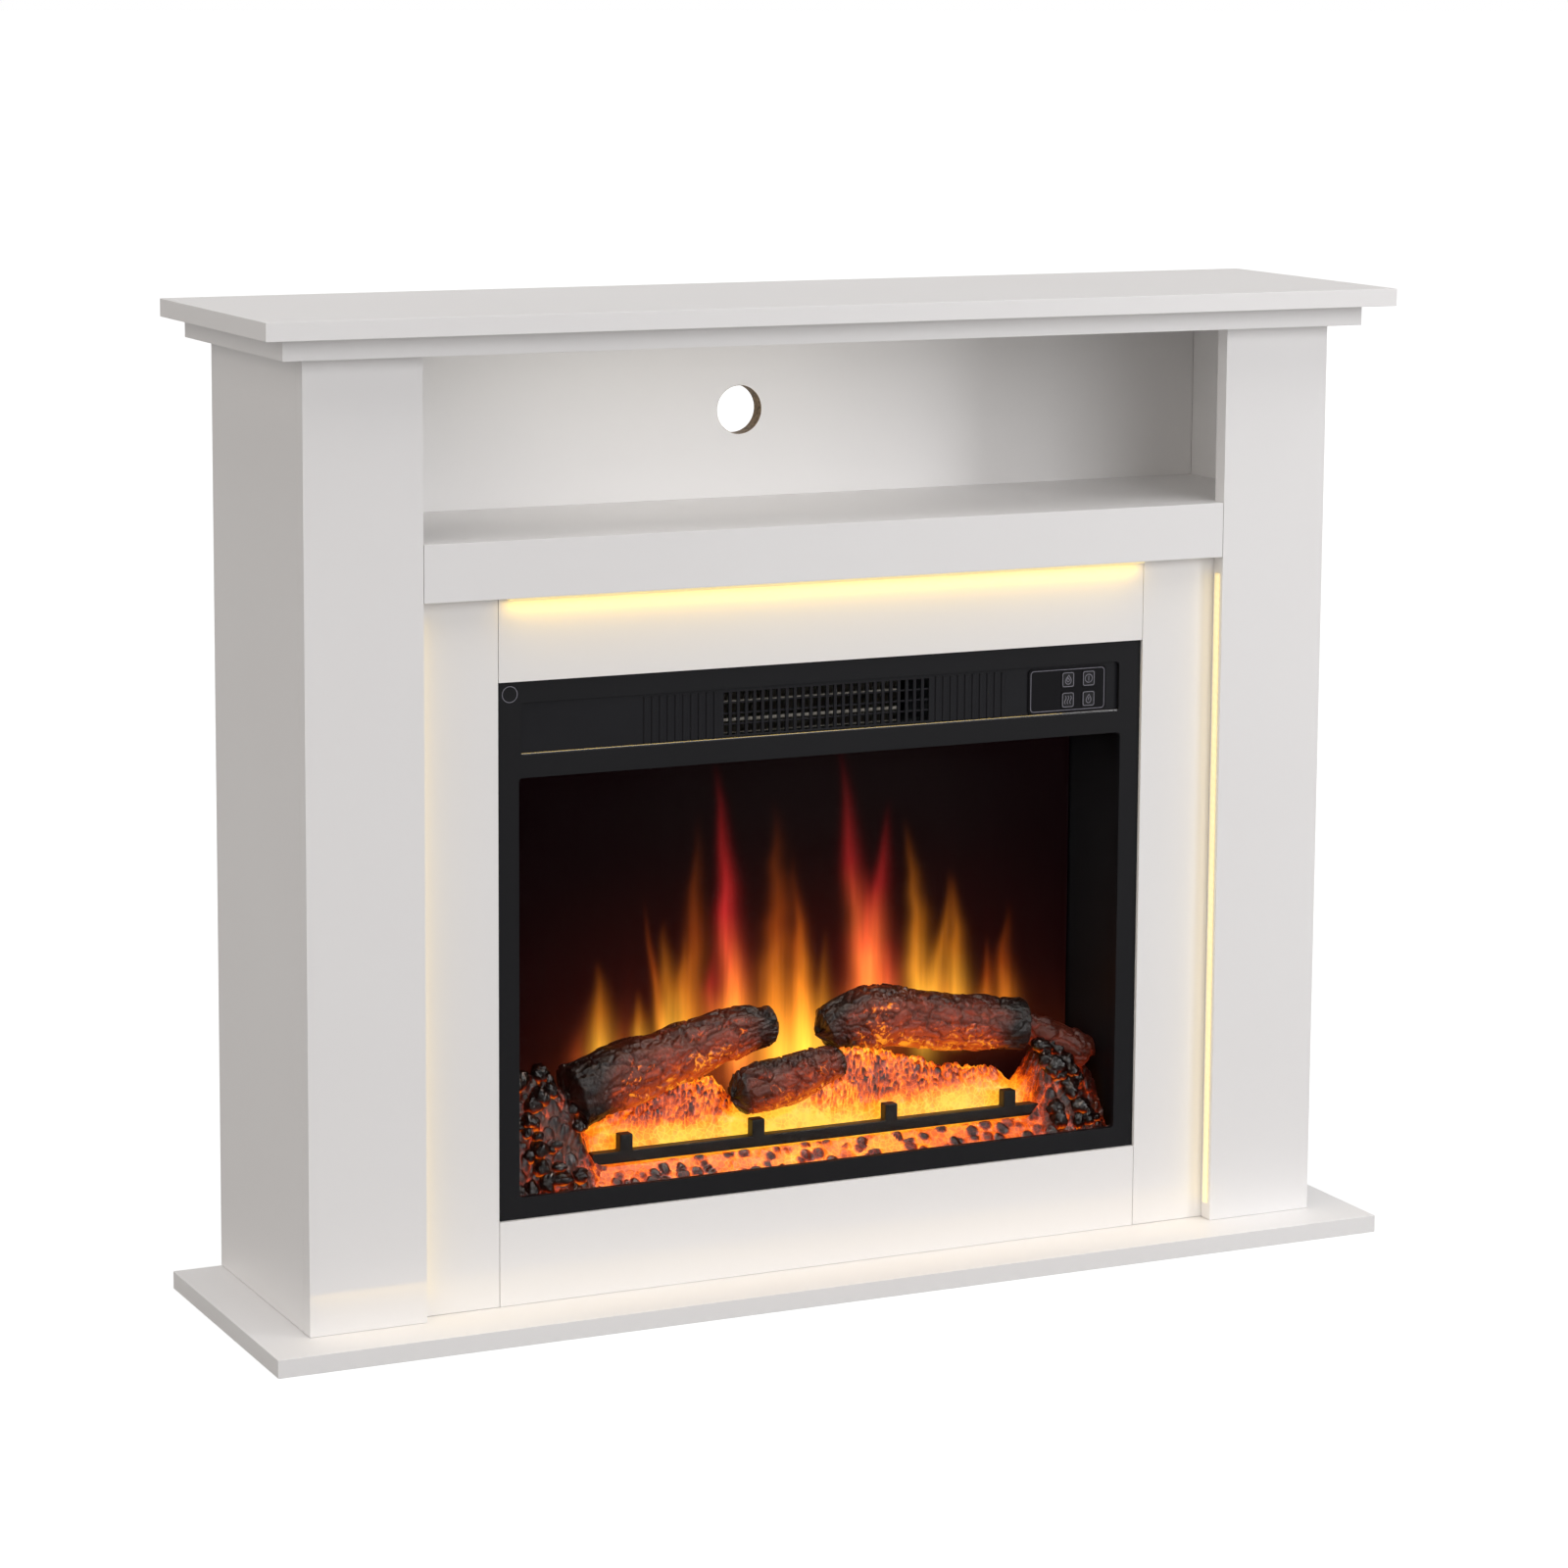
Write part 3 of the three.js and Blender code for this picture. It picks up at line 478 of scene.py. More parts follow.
def moulded_silicone_key(name):
    """Black silicone rubber keys.

    The eye gets small matt pads, dark blue-black beside the film.
    """
    material, tree, shader, place = start_material(name)
    # Moulding leaves a skin of about 0.6 mm.
    skin = add_node(tree, "ShaderNodeTexNoise", {"Vector": place, "Scale": 1700.0, "Detail": 2.0})
    tone = set_ramp(
        add_node(tree, "ShaderNodeValToRGB", {"Fac": skin.outputs[0]}),
        (0.3, "#09090D"),
        (0.7, "#0E0D12"),
    )
    bump = add_node(
        tree,
        "ShaderNodeBump",
        {"Height": skin.outputs[0], "Strength": 0.1, "Distance": 0.0001},
    )
    set_inputs(shader, {"Base Color": tone, "Roughness": 0.5, "Normal": bump.outputs[0], "IOR": 1.41})
    return material


def pad_printed_grey_ink(name):
    """Grey ink stamped on by a soft pad.

    The eye gets thin light-grey lines with slightly uneven cover.
    """
    material, tree, shader, place = start_material(name)
    colours = bpy.context.scene.fireplace_colours
    # Ink cover changes over about 1.5 mm.
    cover = add_node(tree, "ShaderNodeTexNoise", {"Vector": place, "Scale": 650.0, "Detail": 2.0})
    tone = add_node(
        tree,
        "ShaderNodeMix",
        {0: cover.outputs[0], 6: to_linear("#5F5D68"), 7: colours.symbol},
        data_type="RGBA",
    )
    set_inputs(shader, {"Base Color": tone.outputs[2], "Roughness": 0.4, "IOR": 1.5})
    return material


def green_circuit_board(name):
    """Glass-epoxy laminate under green solder mask.

    The eye gets a dark glossy green with lighter copper runs under it.
    """
    material, tree, shader, place = start_material(name)
    # Copper runs are about 2.5 mm apart.
    runs = add_node(tree, "ShaderNodeTexBrick", {"Vector": place, "Scale": 200.0, "Mortar Size": 0.06})
    set_inputs(
        runs,
        {"Color1": to_linear("#0E3B22"), "Color2": to_linear("#124A2B"), "Mortar": to_linear("#2E6B45")},
    )
    gloss = add_node(tree, "ShaderNodeTexNoise", {"Vector": place, "Scale": 300.0})
    level = add_node(
        tree,
        "ShaderNodeMapRange",
        {"Value": gloss.outputs[0], "To Min": 0.2, "To Max": 0.35},
    )
    set_inputs(shader, {"Base Color": runs.outputs["Color"], "Roughness": level.outputs[0], "IOR": 1.55})
    return material


def toughened_glass_pane(name):
    """Float glass, toughened.

    The eye gets a clear way in to the fire. The index is far below the 1.52 of bare glass, which
    laid a grey veil over the fire. It was matched to the look and stands for no real coat.
    """
    material, tree, shader, place = start_material(name)
    # Rollers leave a wave of about 120 mm, far too small to bend a straight line.
    wave = add_node(tree, "ShaderNodeTexNoise", {"Vector": place, "Scale": 8.0, "Detail": 0.0})
    bump = add_node(
        tree,
        "ShaderNodeBump",
        {"Height": wave.outputs[0], "Strength": 0.02, "Distance": 0.0005},
    )
    set_inputs(
        shader,
        {
            "Base Color": to_linear("#FBFBFA"),
            "Roughness": 0.0,
            "IOR": 1.06,
            "Transmission Weight": 1.0,
            "Normal": bump.outputs[0],
        },
    )
    return material


def sponge_rubber_seal(name):
    """Black EPDM sponge strip.

    The eye gets a dull line between glass and steel.
    """
    material, tree, shader, place = start_material(name)
    # Sponge cells are about 0.4 mm.
    cells = add_node(tree, "ShaderNodeTexVoronoi", {"Vector": place, "Scale": 2500.0})
    tone = set_ramp(
        add_node(tree, "ShaderNodeValToRGB", {"Fac": cells.outputs[0]}),
        (0.0, "#0B0B0B"),
        (1.0, "#161616"),
    )
    bump = add_node(
        tree,
        "ShaderNodeBump",
        {"Height": cells.outputs[0], "Strength": 0.4, "Distance": 0.0002},
    )
    set_inputs(shader, {"Base Color": tone, "Roughness": 0.85, "Normal": bump.outputs[0], "IOR": 1.5})
    return material


def spangled_zinc_sheet(name):
    """Hot-dip galvanised steel sheet.

    The eye gets flat grey crystals, each with its own tone and gloss.
    """
    material, tree, shader, place = start_material(name)
    # Zinc spangle is about 9 mm across.
    spangle = add_node(tree, "ShaderNodeTexVoronoi", {"Vector": place, "Scale": 110.0})
    tone = set_ramp(
        add_node(tree, "ShaderNodeValToRGB", {"Fac": spangle.outputs["Color"]}),
        (0.0, "#8E9194"),
        (1.0, "#B4B7B9"),
    )
    split = add_node(tree, "ShaderNodeSeparateColor", {"Color": spangle.outputs["Color"]})
    gloss = add_node(
        tree,
        "ShaderNodeMapRange",
        {"Value": split.outputs[1], "To Min": 0.32, "To Max": 0.52},
    )
    set_inputs(shader, {"Base Color": tone, "Roughness": gloss.outputs[0], "Metallic": 1.0})
    return material


def painted_flame_screen(name):
    """Smoked acrylic screen with light thrown on it from behind.

    The eye gets soft upright flames on a black that has a hint of red.
    """
    material, tree, shader, place = start_material(name)
    sizes = bpy.context.scene.fireplace_sizes
    tint = add_node(tree, "ShaderNodeAttribute", attribute_name="firelight")
    # The foil throws upright streaks about 5 mm wide and 90 mm tall.
    stretched = add_node(tree, "ShaderNodeMapping", {"Vector": place, "Scale": (190.0, 1.0, 11.0)})
    streaks = add_node(
        tree,
        "ShaderNodeTexNoise",
        {"Vector": stretched.outputs[0], "Scale": 1.0, "Detail": 2.0},
    )
    level = add_node(
        tree,
        "ShaderNodeMapRange",
        {"Value": streaks.outputs[0], "To Min": 0.72, "To Max": 1.28},
    )
    power = add_node(
        tree,
        "ShaderNodeMath",
        {0: level.outputs[0], 1: sizes.flame_power},
        operation="MULTIPLY",
    )
    set_inputs(
        shader,
        {
            "Base Color": to_linear("#020101"),
            "Roughness": 0.8,
            "IOR": 1.49,
            "Specular IOR Level": 0.05,
            "Emission Color": tint.outputs["Color"],
            "Emission Strength": power.outputs[0],
        },
    )
    material.cycles.emission_sampling = "NONE"
    return material


def crinkled_mirror_foil(name):
    """Aluminium foil vanes, creased by hand.

    The eye gets bright broken glints.
    """
    material, tree, shader, place = start_material(name)
    # Creases are about 7 mm apart.
    crease = add_node(
        tree,
        "ShaderNodeTexVoronoi",
        {"Vector": place, "Scale": 140.0},
        feature="DISTANCE_TO_EDGE",
    )
    bump = add_node(
        tree,
        "ShaderNodeBump",
        {"Height": crease.outputs[0], "Strength": 0.6, "Distance": 0.002},
    )
    # The foil's colour is darker along the creases, a painted shade.
    tone = set_ramp(
        add_node(tree, "ShaderNodeValToRGB", {"Fac": crease.outputs[0]}),
        (0.0, "#B9BBBE"),
        (0.2, "#DCDDDF"),
    )
    set_inputs(
        shader,
        {"Base Color": tone, "Roughness": 0.16, "Metallic": 1.0, "Normal": bump.outputs[0]},
    )
    return material


def plated_motor_can(name):
    """Drawn steel can, nickel plated.

    The eye gets a clean grey metal with faint draw lines.
    """
    material, tree, shader, place = start_material(name)
    # Draw lines are about 0.4 mm apart along the can.
    stretched = add_node(tree, "ShaderNodeMapping", {"Vector": place, "Scale": (60.0, 2500.0, 2500.0)})
    lines = add_node(tree, "ShaderNodeTexNoise", {"Vector": stretched.outputs[0], "Scale": 1.0})
    gloss = add_node(
        tree,
        "ShaderNodeMapRange",
        {"Value": lines.outputs[0], "To Min": 0.22, "To Max": 0.42},
    )
    tone = set_ramp(
        add_node(tree, "ShaderNodeValToRGB", {"Fac": lines.outputs[0]}),
        (0.2, "#86878A"),
        (0.8, "#A3A4A7"),
    )
    set_inputs(shader, {"Base Color": tone, "Roughness": gloss.outputs[0], "Metallic": 1.0})
    return material


def cast_ember_resin(name):
    """Clear orange resin cast over lights, with a sprayed dark crust.

    The eye gets yellow light in the thin places, red in the thick ones, and wet brown lumps.
    """
    material, tree, shader, place = start_material(name)
    sizes = bpy.context.scene.fireplace_sizes
    colours = bpy.context.scene.fireplace_colours
    glow = add_node(tree, "ShaderNodeAttribute", attribute_name="glow")
    crust = add_node(tree, "ShaderNodeAttribute", attribute_name="crust")
    # Crazing in the crust is about 6 mm across and lets thin lines of light out.
    craze = add_node(
        tree,
        "ShaderNodeTexVoronoi",
        {"Vector": place, "Scale": 170.0},
        feature="DISTANCE_TO_EDGE",
    )
    cracks = add_node(
        tree,
        "ShaderNodeMapRange",
        {"Value": craze.outputs[0], "From Min": 0.0, "From Max": 0.1, "To Min": 0.16, "To Max": 0.0},
    )
    # Resin thickness changes over about 11 mm.
    cloud = add_node(tree, "ShaderNodeTexNoise", {"Vector": place, "Scale": 90.0, "Detail": 3.0})
    shift = add_node(
        tree,
        "ShaderNodeMapRange",
        {"Value": cloud.outputs[0], "To Min": -0.2, "To Max": 0.2},
    )
    mixed = add_node(
        tree,
        "ShaderNodeMath",
        {0: glow.outputs["Fac"], 1: shift.outputs[0]},
        operation="ADD",
    )
    lifted = add_node(
        tree,
        "ShaderNodeMath",
        {0: mixed.outputs[0], 1: cracks.outputs[0]},
        operation="ADD",
    )
    glow_colour = set_ramp(
        add_node(tree, "ShaderNodeValToRGB", {"Fac": lifted.outputs[0]}),
        (0.02, "#0C0201"),
        (0.18, "#3E0A03"),
        (0.36, "#9A2707"),
        (0.55, "#E25C0C"),
        (0.74, "#FB981A"),
        (0.95, "#FFCE44"),
    )
    body = add_node(
        tree,
        "ShaderNodeMix",
        {0: crust.outputs["Fac"], 6: to_linear("#8A3A10"), 7: colours.char},
        data_type="RGBA",
    )
    bump = add_node(
        tree,
        "ShaderNodeBump",
        {"Height": cloud.outputs[0], "Strength": 0.5, "Distance": 0.002},
    )
    set_inputs(
        shader,
        {
            "Base Color": body.outputs[2],
            "Roughness": 0.3,
            "IOR": 1.5,
            "Normal": bump.outputs[0],
            "Emission Color": glow_colour,
            "Emission Strength": sizes.ember_power,
        },
    )
    material.cycles.emission_sampling = "NONE"
    return material


def painted_resin_bark(name):
    """Moulded resin logs, stained red-brown, with black sprayed on the ends.

    The eye gets wet-looking bark that goes black at the tips and glows dull red low down, a painted glow
    that stands in for the embers' light.
    """
    material, tree, shader, place = start_material(name)
    colours = bpy.context.scene.fireplace_colours
    glow = add_node(tree, "ShaderNodeAttribute", attribute_name="glow")
    crust = add_node(tree, "ShaderNodeAttribute", attribute_name="crust")
    # Stain gathers in patches of about 18 mm, and the bark is pitted every 3 mm.
    patch = add_node(tree, "ShaderNodeTexNoise", {"Vector": place, "Scale": 55.0, "Detail": 4.0})
    pits = add_node(tree, "ShaderNodeTexNoise", {"Vector": place, "Scale": 330.0, "Detail": 3.0})
    stain = add_node(
        tree,
        "ShaderNodeMix",
        {0: patch.outputs[0], 6: to_linear("#33130B"), 7: colours.bark},
        data_type="RGBA",
    )
    burnt = add_node(
        tree,
        "ShaderNodeMix",
        {0: crust.outputs["Fac"], 6: stain.outputs[2], 7: colours.char},
        data_type="RGBA",
    )
    shift = add_node(
        tree,
        "ShaderNodeMapRange",
        {"Value": patch.outputs[0], "To Min": -0.16, "To Max": 0.16},
    )
    level = add_node(
        tree,
        "ShaderNodeMath",
        {0: glow.outputs["Fac"], 1: shift.outputs[0]},
        operation="ADD",
    )
    # This ramp colours the painted ember glow on the bark.
    glow_colour = set_ramp(
        add_node(tree, "ShaderNodeValToRGB", {"Fac": level.outputs[0]}),
        (0.0, "#050201"),
        (0.25, "#2A0803"),
        (0.5, "#6B1D0B"),
        (0.75, "#B8420F"),
        (1.0, "#FF9A22"),
    )
    bump = add_node(
        tree,
        "ShaderNodeBump",
        {"Height": pits.outputs[0], "Strength": 0.6, "Distance": 0.0015},
    )
    set_inputs(
        shader,
        {
            "Base Color": burnt.outputs[2],
            "Roughness": 0.34,
            "IOR": 1.5,
            "Normal": bump.outputs[0],
            "Emission Color": glow_colour,
            "Emission Strength": 1.0,
        },
    )
    material.cycles.emission_sampling = "NONE"
    return material


def gloss_black_resin_coal(name):
    """Black resin lumps with a wet gloss.

    The eye gets hard little highlights on black, and a red edge near the embers, a painted glow that
    stands in for the embers' light.
    """
    material, tree, shader, place = start_material(name)
    colours = bpy.context.scene.fireplace_colours
    glow = add_node(tree, "ShaderNodeAttribute", attribute_name="glow")
    # Broken facets are about 4 mm.
    facets = add_node(tree, "ShaderNodeTexVoronoi", {"Vector": place, "Scale": 240.0})
    bump = add_node(
        tree,
        "ShaderNodeBump",
        {"Height": facets.outputs[0], "Strength": 0.5, "Distance": 0.002},
    )
    # This ramp colours the painted ember glow on the coals.
    glow_colour = set_ramp(
        add_node(tree, "ShaderNodeValToRGB", {"Fac": glow.outputs["Fac"]}),
        (0.0, "#020101"),
        (0.4, "#220602"),
        (0.7, "#7A1F06"),
        (1.0, "#F0700F"),
    )
    set_inputs(
        shader,
        {
            "Base Color": colours.char,
            "Roughness": 0.2,
            "IOR": 1.55,
            "Normal": bump.outputs[0],
            "Emission Color": glow_colour,
            "Emission Strength": 1.0,
        },
    )
    material.cycles.emission_sampling = "NONE"
    return material


def cast_iron_black(name):
    """Grate bar in stove-black paint over a rough casting.

    The eye gets a flat black bar that cuts across the embers.
    """
    material, tree, shader, place = start_material(name)
    # Sand-cast grain is about 1 mm.
    grain = add_node(tree, "ShaderNodeTexNoise", {"Vector": place, "Scale": 1000.0, "Detail": 3.0})
    tone = set_ramp(
        add_node(tree, "ShaderNodeValToRGB", {"Fac": grain.outputs[0]}),
        (0.3, "#040303"),
        (0.7, "#0A0706"),
    )
    bump = add_node(
        tree,
        "ShaderNodeBump",
        {"Height": grain.outputs[0], "Strength": 0.4, "Distance": 0.0004},
    )
    set_inputs(shader, {"Base Color": tone, "Roughness": 0.5, "Normal": bump.outputs[0], "IOR": 1.5})
    return material


def corrugated_aluminium_fin(name):
    """Thin rolled aluminium ribbon on a heating bar.

    The eye gets bright thin zigzags in a dark slot.
    """
    material, tree, shader, place = start_material(name)
    # Roll marks are about 0.3 mm apart.
    rolled = add_node(tree, "ShaderNodeMapping", {"Vector": place, "Scale": (200.0, 3300.0, 200.0)})
    marks = add_node(tree, "ShaderNodeTexNoise", {"Vector": rolled.outputs[0], "Scale": 1.0})
    gloss = add_node(
        tree,
        "ShaderNodeMapRange",
        {"Value": marks.outputs[0], "To Min": 0.25, "To Max": 0.4},
    )
    tone = set_ramp(
        add_node(tree, "ShaderNodeValToRGB", {"Fac": marks.outputs[0]}),
        (0.2, "#B9B2A4"),
        (0.8, "#E2DDD2"),
    )
    set_inputs(shader, {"Base Color": tone, "Roughness": gloss.outputs[0], "Metallic": 1.0})
    return material


def blued_blower_wheel(name):
    """Pressed steel wheel with a dark zinc coat.

    The eye gets a dim metal with a blue-grey cast.
    """
    material, tree, shader, place = start_material(name)
    # The coat mottles over about 5 mm.
    mottle = add_node(tree, "ShaderNodeTexNoise", {"Vector": place, "Scale": 200.0, "Detail": 2.0})
    tone = set_ramp(
        add_node(tree, "ShaderNodeValToRGB", {"Fac": mottle.outputs[0]}),
        (0.3, "#4A4E55"),
        (0.7, "#676C74"),
    )
    gloss = add_node(
        tree,
        "ShaderNodeMapRange",
        {"Value": mottle.outputs[0], "To Min": 0.3, "To Max": 0.5},
    )
    set_inputs(shader, {"Base Color": tone, "Roughness": gloss.outputs[0], "Metallic": 1.0})
    return material


def zinc_plated_screw(name):
    """Turned screw with bright zinc plate.

    The eye gets a small pale metal glint.
    """
    material, tree, shader, place = start_material(name)
    # Tool marks are about 0.5 mm.
    marks = add_node(tree, "ShaderNodeTexNoise", {"Vector": place, "Scale": 2000.0})
    gloss = add_node(
        tree,
        "ShaderNodeMapRange",
        {"Value": marks.outputs[0], "To Min": 0.2, "To Max": 0.38},
    )
    tone = set_ramp(
        add_node(tree, "ShaderNodeValToRGB", {"Fac": marks.outputs[0]}),
        (0.3, "#A4A39C"),
        (0.7, "#C6C5BF"),
    )
    set_inputs(shader, {"Base Color": tone, "Roughness": gloss.outputs[0], "Metallic": 1.0})
    return material


def polished_abs_lip(name):
    """ABS edge moulded against a mirror-polished tool.

    The eye gets a thin bright line where it faces a light. The index is above that of ABS, 1.53,
    only to make the line bright enough.
    """
    material, tree, shader, place = start_material(name)
    # The polish wanders over about 30 mm.
    wander = add_node(tree, "ShaderNodeTexNoise", {"Vector": place, "Scale": 33.0, "Detail": 1.0})
    gloss = add_node(
        tree,
        "ShaderNodeMapRange",
        {"Value": wander.outputs[0], "To Min": 0.08, "To Max": 0.13},
    )
    set_inputs(
        shader,
        {
            "Base Color": to_linear("#17161A"),
            "Roughness": gloss.outputs[0],
            "IOR": 1.8,
            "Specular IOR Level": 1.0,
        },
    )
    return material


FINISHES = {
    "white_board": satin_melamine_board,
    "light_strip": milky_silicone_light_strip,
    "black_steel": powder_coated_steel,
    "black_plastic": spark_textured_abs,
    "polished_plastic": polished_abs_lip,
    "control_plate": film_covered_panel,
    "button": moulded_silicone_key,
    "symbol_print": pad_printed_grey_ink,
    "circuit_board": green_circuit_board,
    "front_glass": toughened_glass_pane,
    "rubber_seal": sponge_rubber_seal,
    "galvanised_steel": spangled_zinc_sheet,
    "flame_screen": painted_flame_screen,
    "rotor_foil": crinkled_mirror_foil,
    "motor_steel": plated_motor_can,
    "ember_resin": cast_ember_resin,
    "coal_resin": gloss_black_resin_coal,
    "log_resin": painted_resin_bark,
    "grate_black": cast_iron_black,
    "heater_fins": corrugated_aluminium_fin,
    "blower_metal": blued_blower_wheel,
    "screw_steel": zinc_plated_screw,
}


def finish_of(slot):
    """The material for a slot, made the first time it is asked for."""
    maker = FINISHES[slot]
    name = maker.__name__.replace("_", " ")
    return bpy.data.materials.get(name) or maker(name)


def dress(names, edge=0.0):
    """Gives frame nodes their finish and, where asked, rounds the edges that catch light."""
    for name in names:
        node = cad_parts[name]
        node.material_slots[0].material = finish_of(SLOT_OF[name])
        if edge:
            weld = node.modifiers.new("Joined corners", "WELD")
            weld.merge_threshold = 0.00001
            bevel = node.modifiers.new("Eased edges", "BEVEL")
            bevel.width = edge
            bevel.segments = 3
            bevel.limit_method = "ANGLE"
            bevel.angle_limit = math.radians(40)
            bevel.harden_normals = True


# ---------------------------------------------------------------- shapes


def fire(x, y, z):
    """A point in metres from millimetres right, back and up from the middle of the bezel's foot."""
    return (x * MM, FIRE_LOW.y + y * MM, FIRE_LOW.z + z * MM)


def add_piece(name, points, faces, slot, body=ROOT, smooth=True, slot_name=None, **values):
    """A mesh that rides on a body, with a number for each point under each given name."""
    mesh = bpy.data.meshes.new(name)
    mesh.from_pydata([tuple(point) for point in points], [], [tuple(face) for face in faces])
    mesh.polygons.foreach_set("use_smooth", [smooth] * len(mesh.polygons))
    for label, numbers in values.items():
        numbers = np.asarray(numbers, np.float32)
        kind, key = ("FLOAT", "value") if numbers.ndim == 1 else ("FLOAT_COLOR", "color")
        layer = mesh.attributes.new(label, kind, "POINT")
        layer.data.foreach_set(key, numbers.ravel())
    mesh.update()
    mesh.materials.append(finish_of(slot))
    piece = bpy.data.objects.new(name, mesh)
    bpy.context.scene.collection.objects.link(piece)
    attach(piece, body)
    return piece


def sheet_faces(rows, columns, closed=False):
    """Squares between the points of a grid whose rows come one after another."""
    across = columns if closed else columns - 1
    faces = []
    for row in range(rows - 1):
        for column in range(across):
            after = (column + 1) % columns
            low = row * columns
            high = low + columns
            faces.append((low + column, low + after, high + after, high + column))
    return faces


def corner_value(cells, seed):
    """A steady number from 0 to 1 for each whole-number cell."""
    key = cells[:, 0] * 73856093 ^ cells[:, 1] * 19349663 ^ cells[:, 2] * 83492791
    key = key ^ (seed + 11) * 2654435
    key = (key ^ (key >> 13)) * 1274126177
    key = (key ^ (key >> 15)) * 668265263
    return ((key >> 7) & 0xFFFF) / 65535.0


def soft_noise(points, seed=0):
    """Smooth noise from -1 to 1 for points measured in noise cells."""
    cells = np.floor(points).astype(np.int64)
    part = points - cells
    part = part * part * (3 - 2 * part)
    total = np.zeros(len(points))
    for corner in np.ndindex(2, 2, 2):
        share = np.prod(np.where(corner, part, 1 - part), axis=1)
        total += share * corner_value(cells + corner, seed)
    return total * 2 - 1


def rough_noise(points, seed=0, layers=3):
    """Smooth noise with finer noise on it."""
    total = np.zeros(len(points))
    for layer in range(layers):
        total += soft_noise(points * 2**layer, seed + layer) / 2**layer
    return total


def lump_noise(points, seed=0):
    """Distance to the nearest and second lump centre, and the nearest lump's own number."""
    cells = np.floor(points).astype(np.int64)
    nearest = np.full(len(points), 9.0)
    second = np.full(len(points), 9.0)
    number = np.zeros(len(points))
    for step in np.ndindex(3, 3, 3):
        cell = cells + np.array(step) - 1
        centre = cell + np.stack([corner_value(cell, seed + axis) for axis in (1, 2, 3)], axis=1)
        reach = np.linalg.norm(points - centre, axis=1)
        closer = reach < nearest
        second = np.where(closer, nearest, np.minimum(second, reach))
        number = np.where(closer, corner_value(cell, seed + 4), number)
        nearest = np.where(closer, reach, nearest)
    return nearest, second, number


def ease(low, high, value):
    """A smooth step from 0 at low to 1 at high."""
    part = np.clip((value - low) / (high - low), 0, 1)
    return part * part * (3 - 2 * part)


def smooth_path(stations, count):
    """Points, with any further numbers, on a smooth curve through the stations."""
    stations = np.array(stations, float)
    padded = np.vstack([2 * stations[0] - stations[1], stations, 2 * stations[-1] - stations[-2]])
    steps = np.linspace(0, len(stations) - 1 - 1e-9, count)
    first = steps.astype(int)
    part = (steps - first)[:, None]
    a, b, c, d = (padded[first + k] for k in range(4))
    return 0.5 * (
        2 * b + (c - a) * part + (2 * a - 5 * b + 4 * c - d) * part**2 + (3 * b - a - 3 * c + d) * part**3
    )


# ---------------------------------------------------------------- fire shapes

BED_PROFILE = (
    (12.5, 18.0, 37.0, 40.0, 51.0, 55.0, 62.0, 72.0, 84.0, 100.0, 114.0),
    (9.0, 13.0, 31.0, 32.0, 32.0, 38.0, 55.0, 60.0, 58.0, 52.0, 44.0),
)
BED_MOUNDS = (
    (-250, -231, -188, -135, -90, -72, -60, -34, -15, 12, 41, 70, 96, 130, 164, 233, 252),
    (0, 8, 28, 42, 34, 12, 4, 2, 8, 34, 56, 52, 47, 38, 26, 13, 2),
)
LEFT_HEAP = ((-340, -317, -285, -262, -240, -220), (108, 116, 114, 98, 60, 14))
RIGHT_HEAP = ((242, 260, 280, 306, 332, 345), (14, 76, 94, 86, 68, 60))


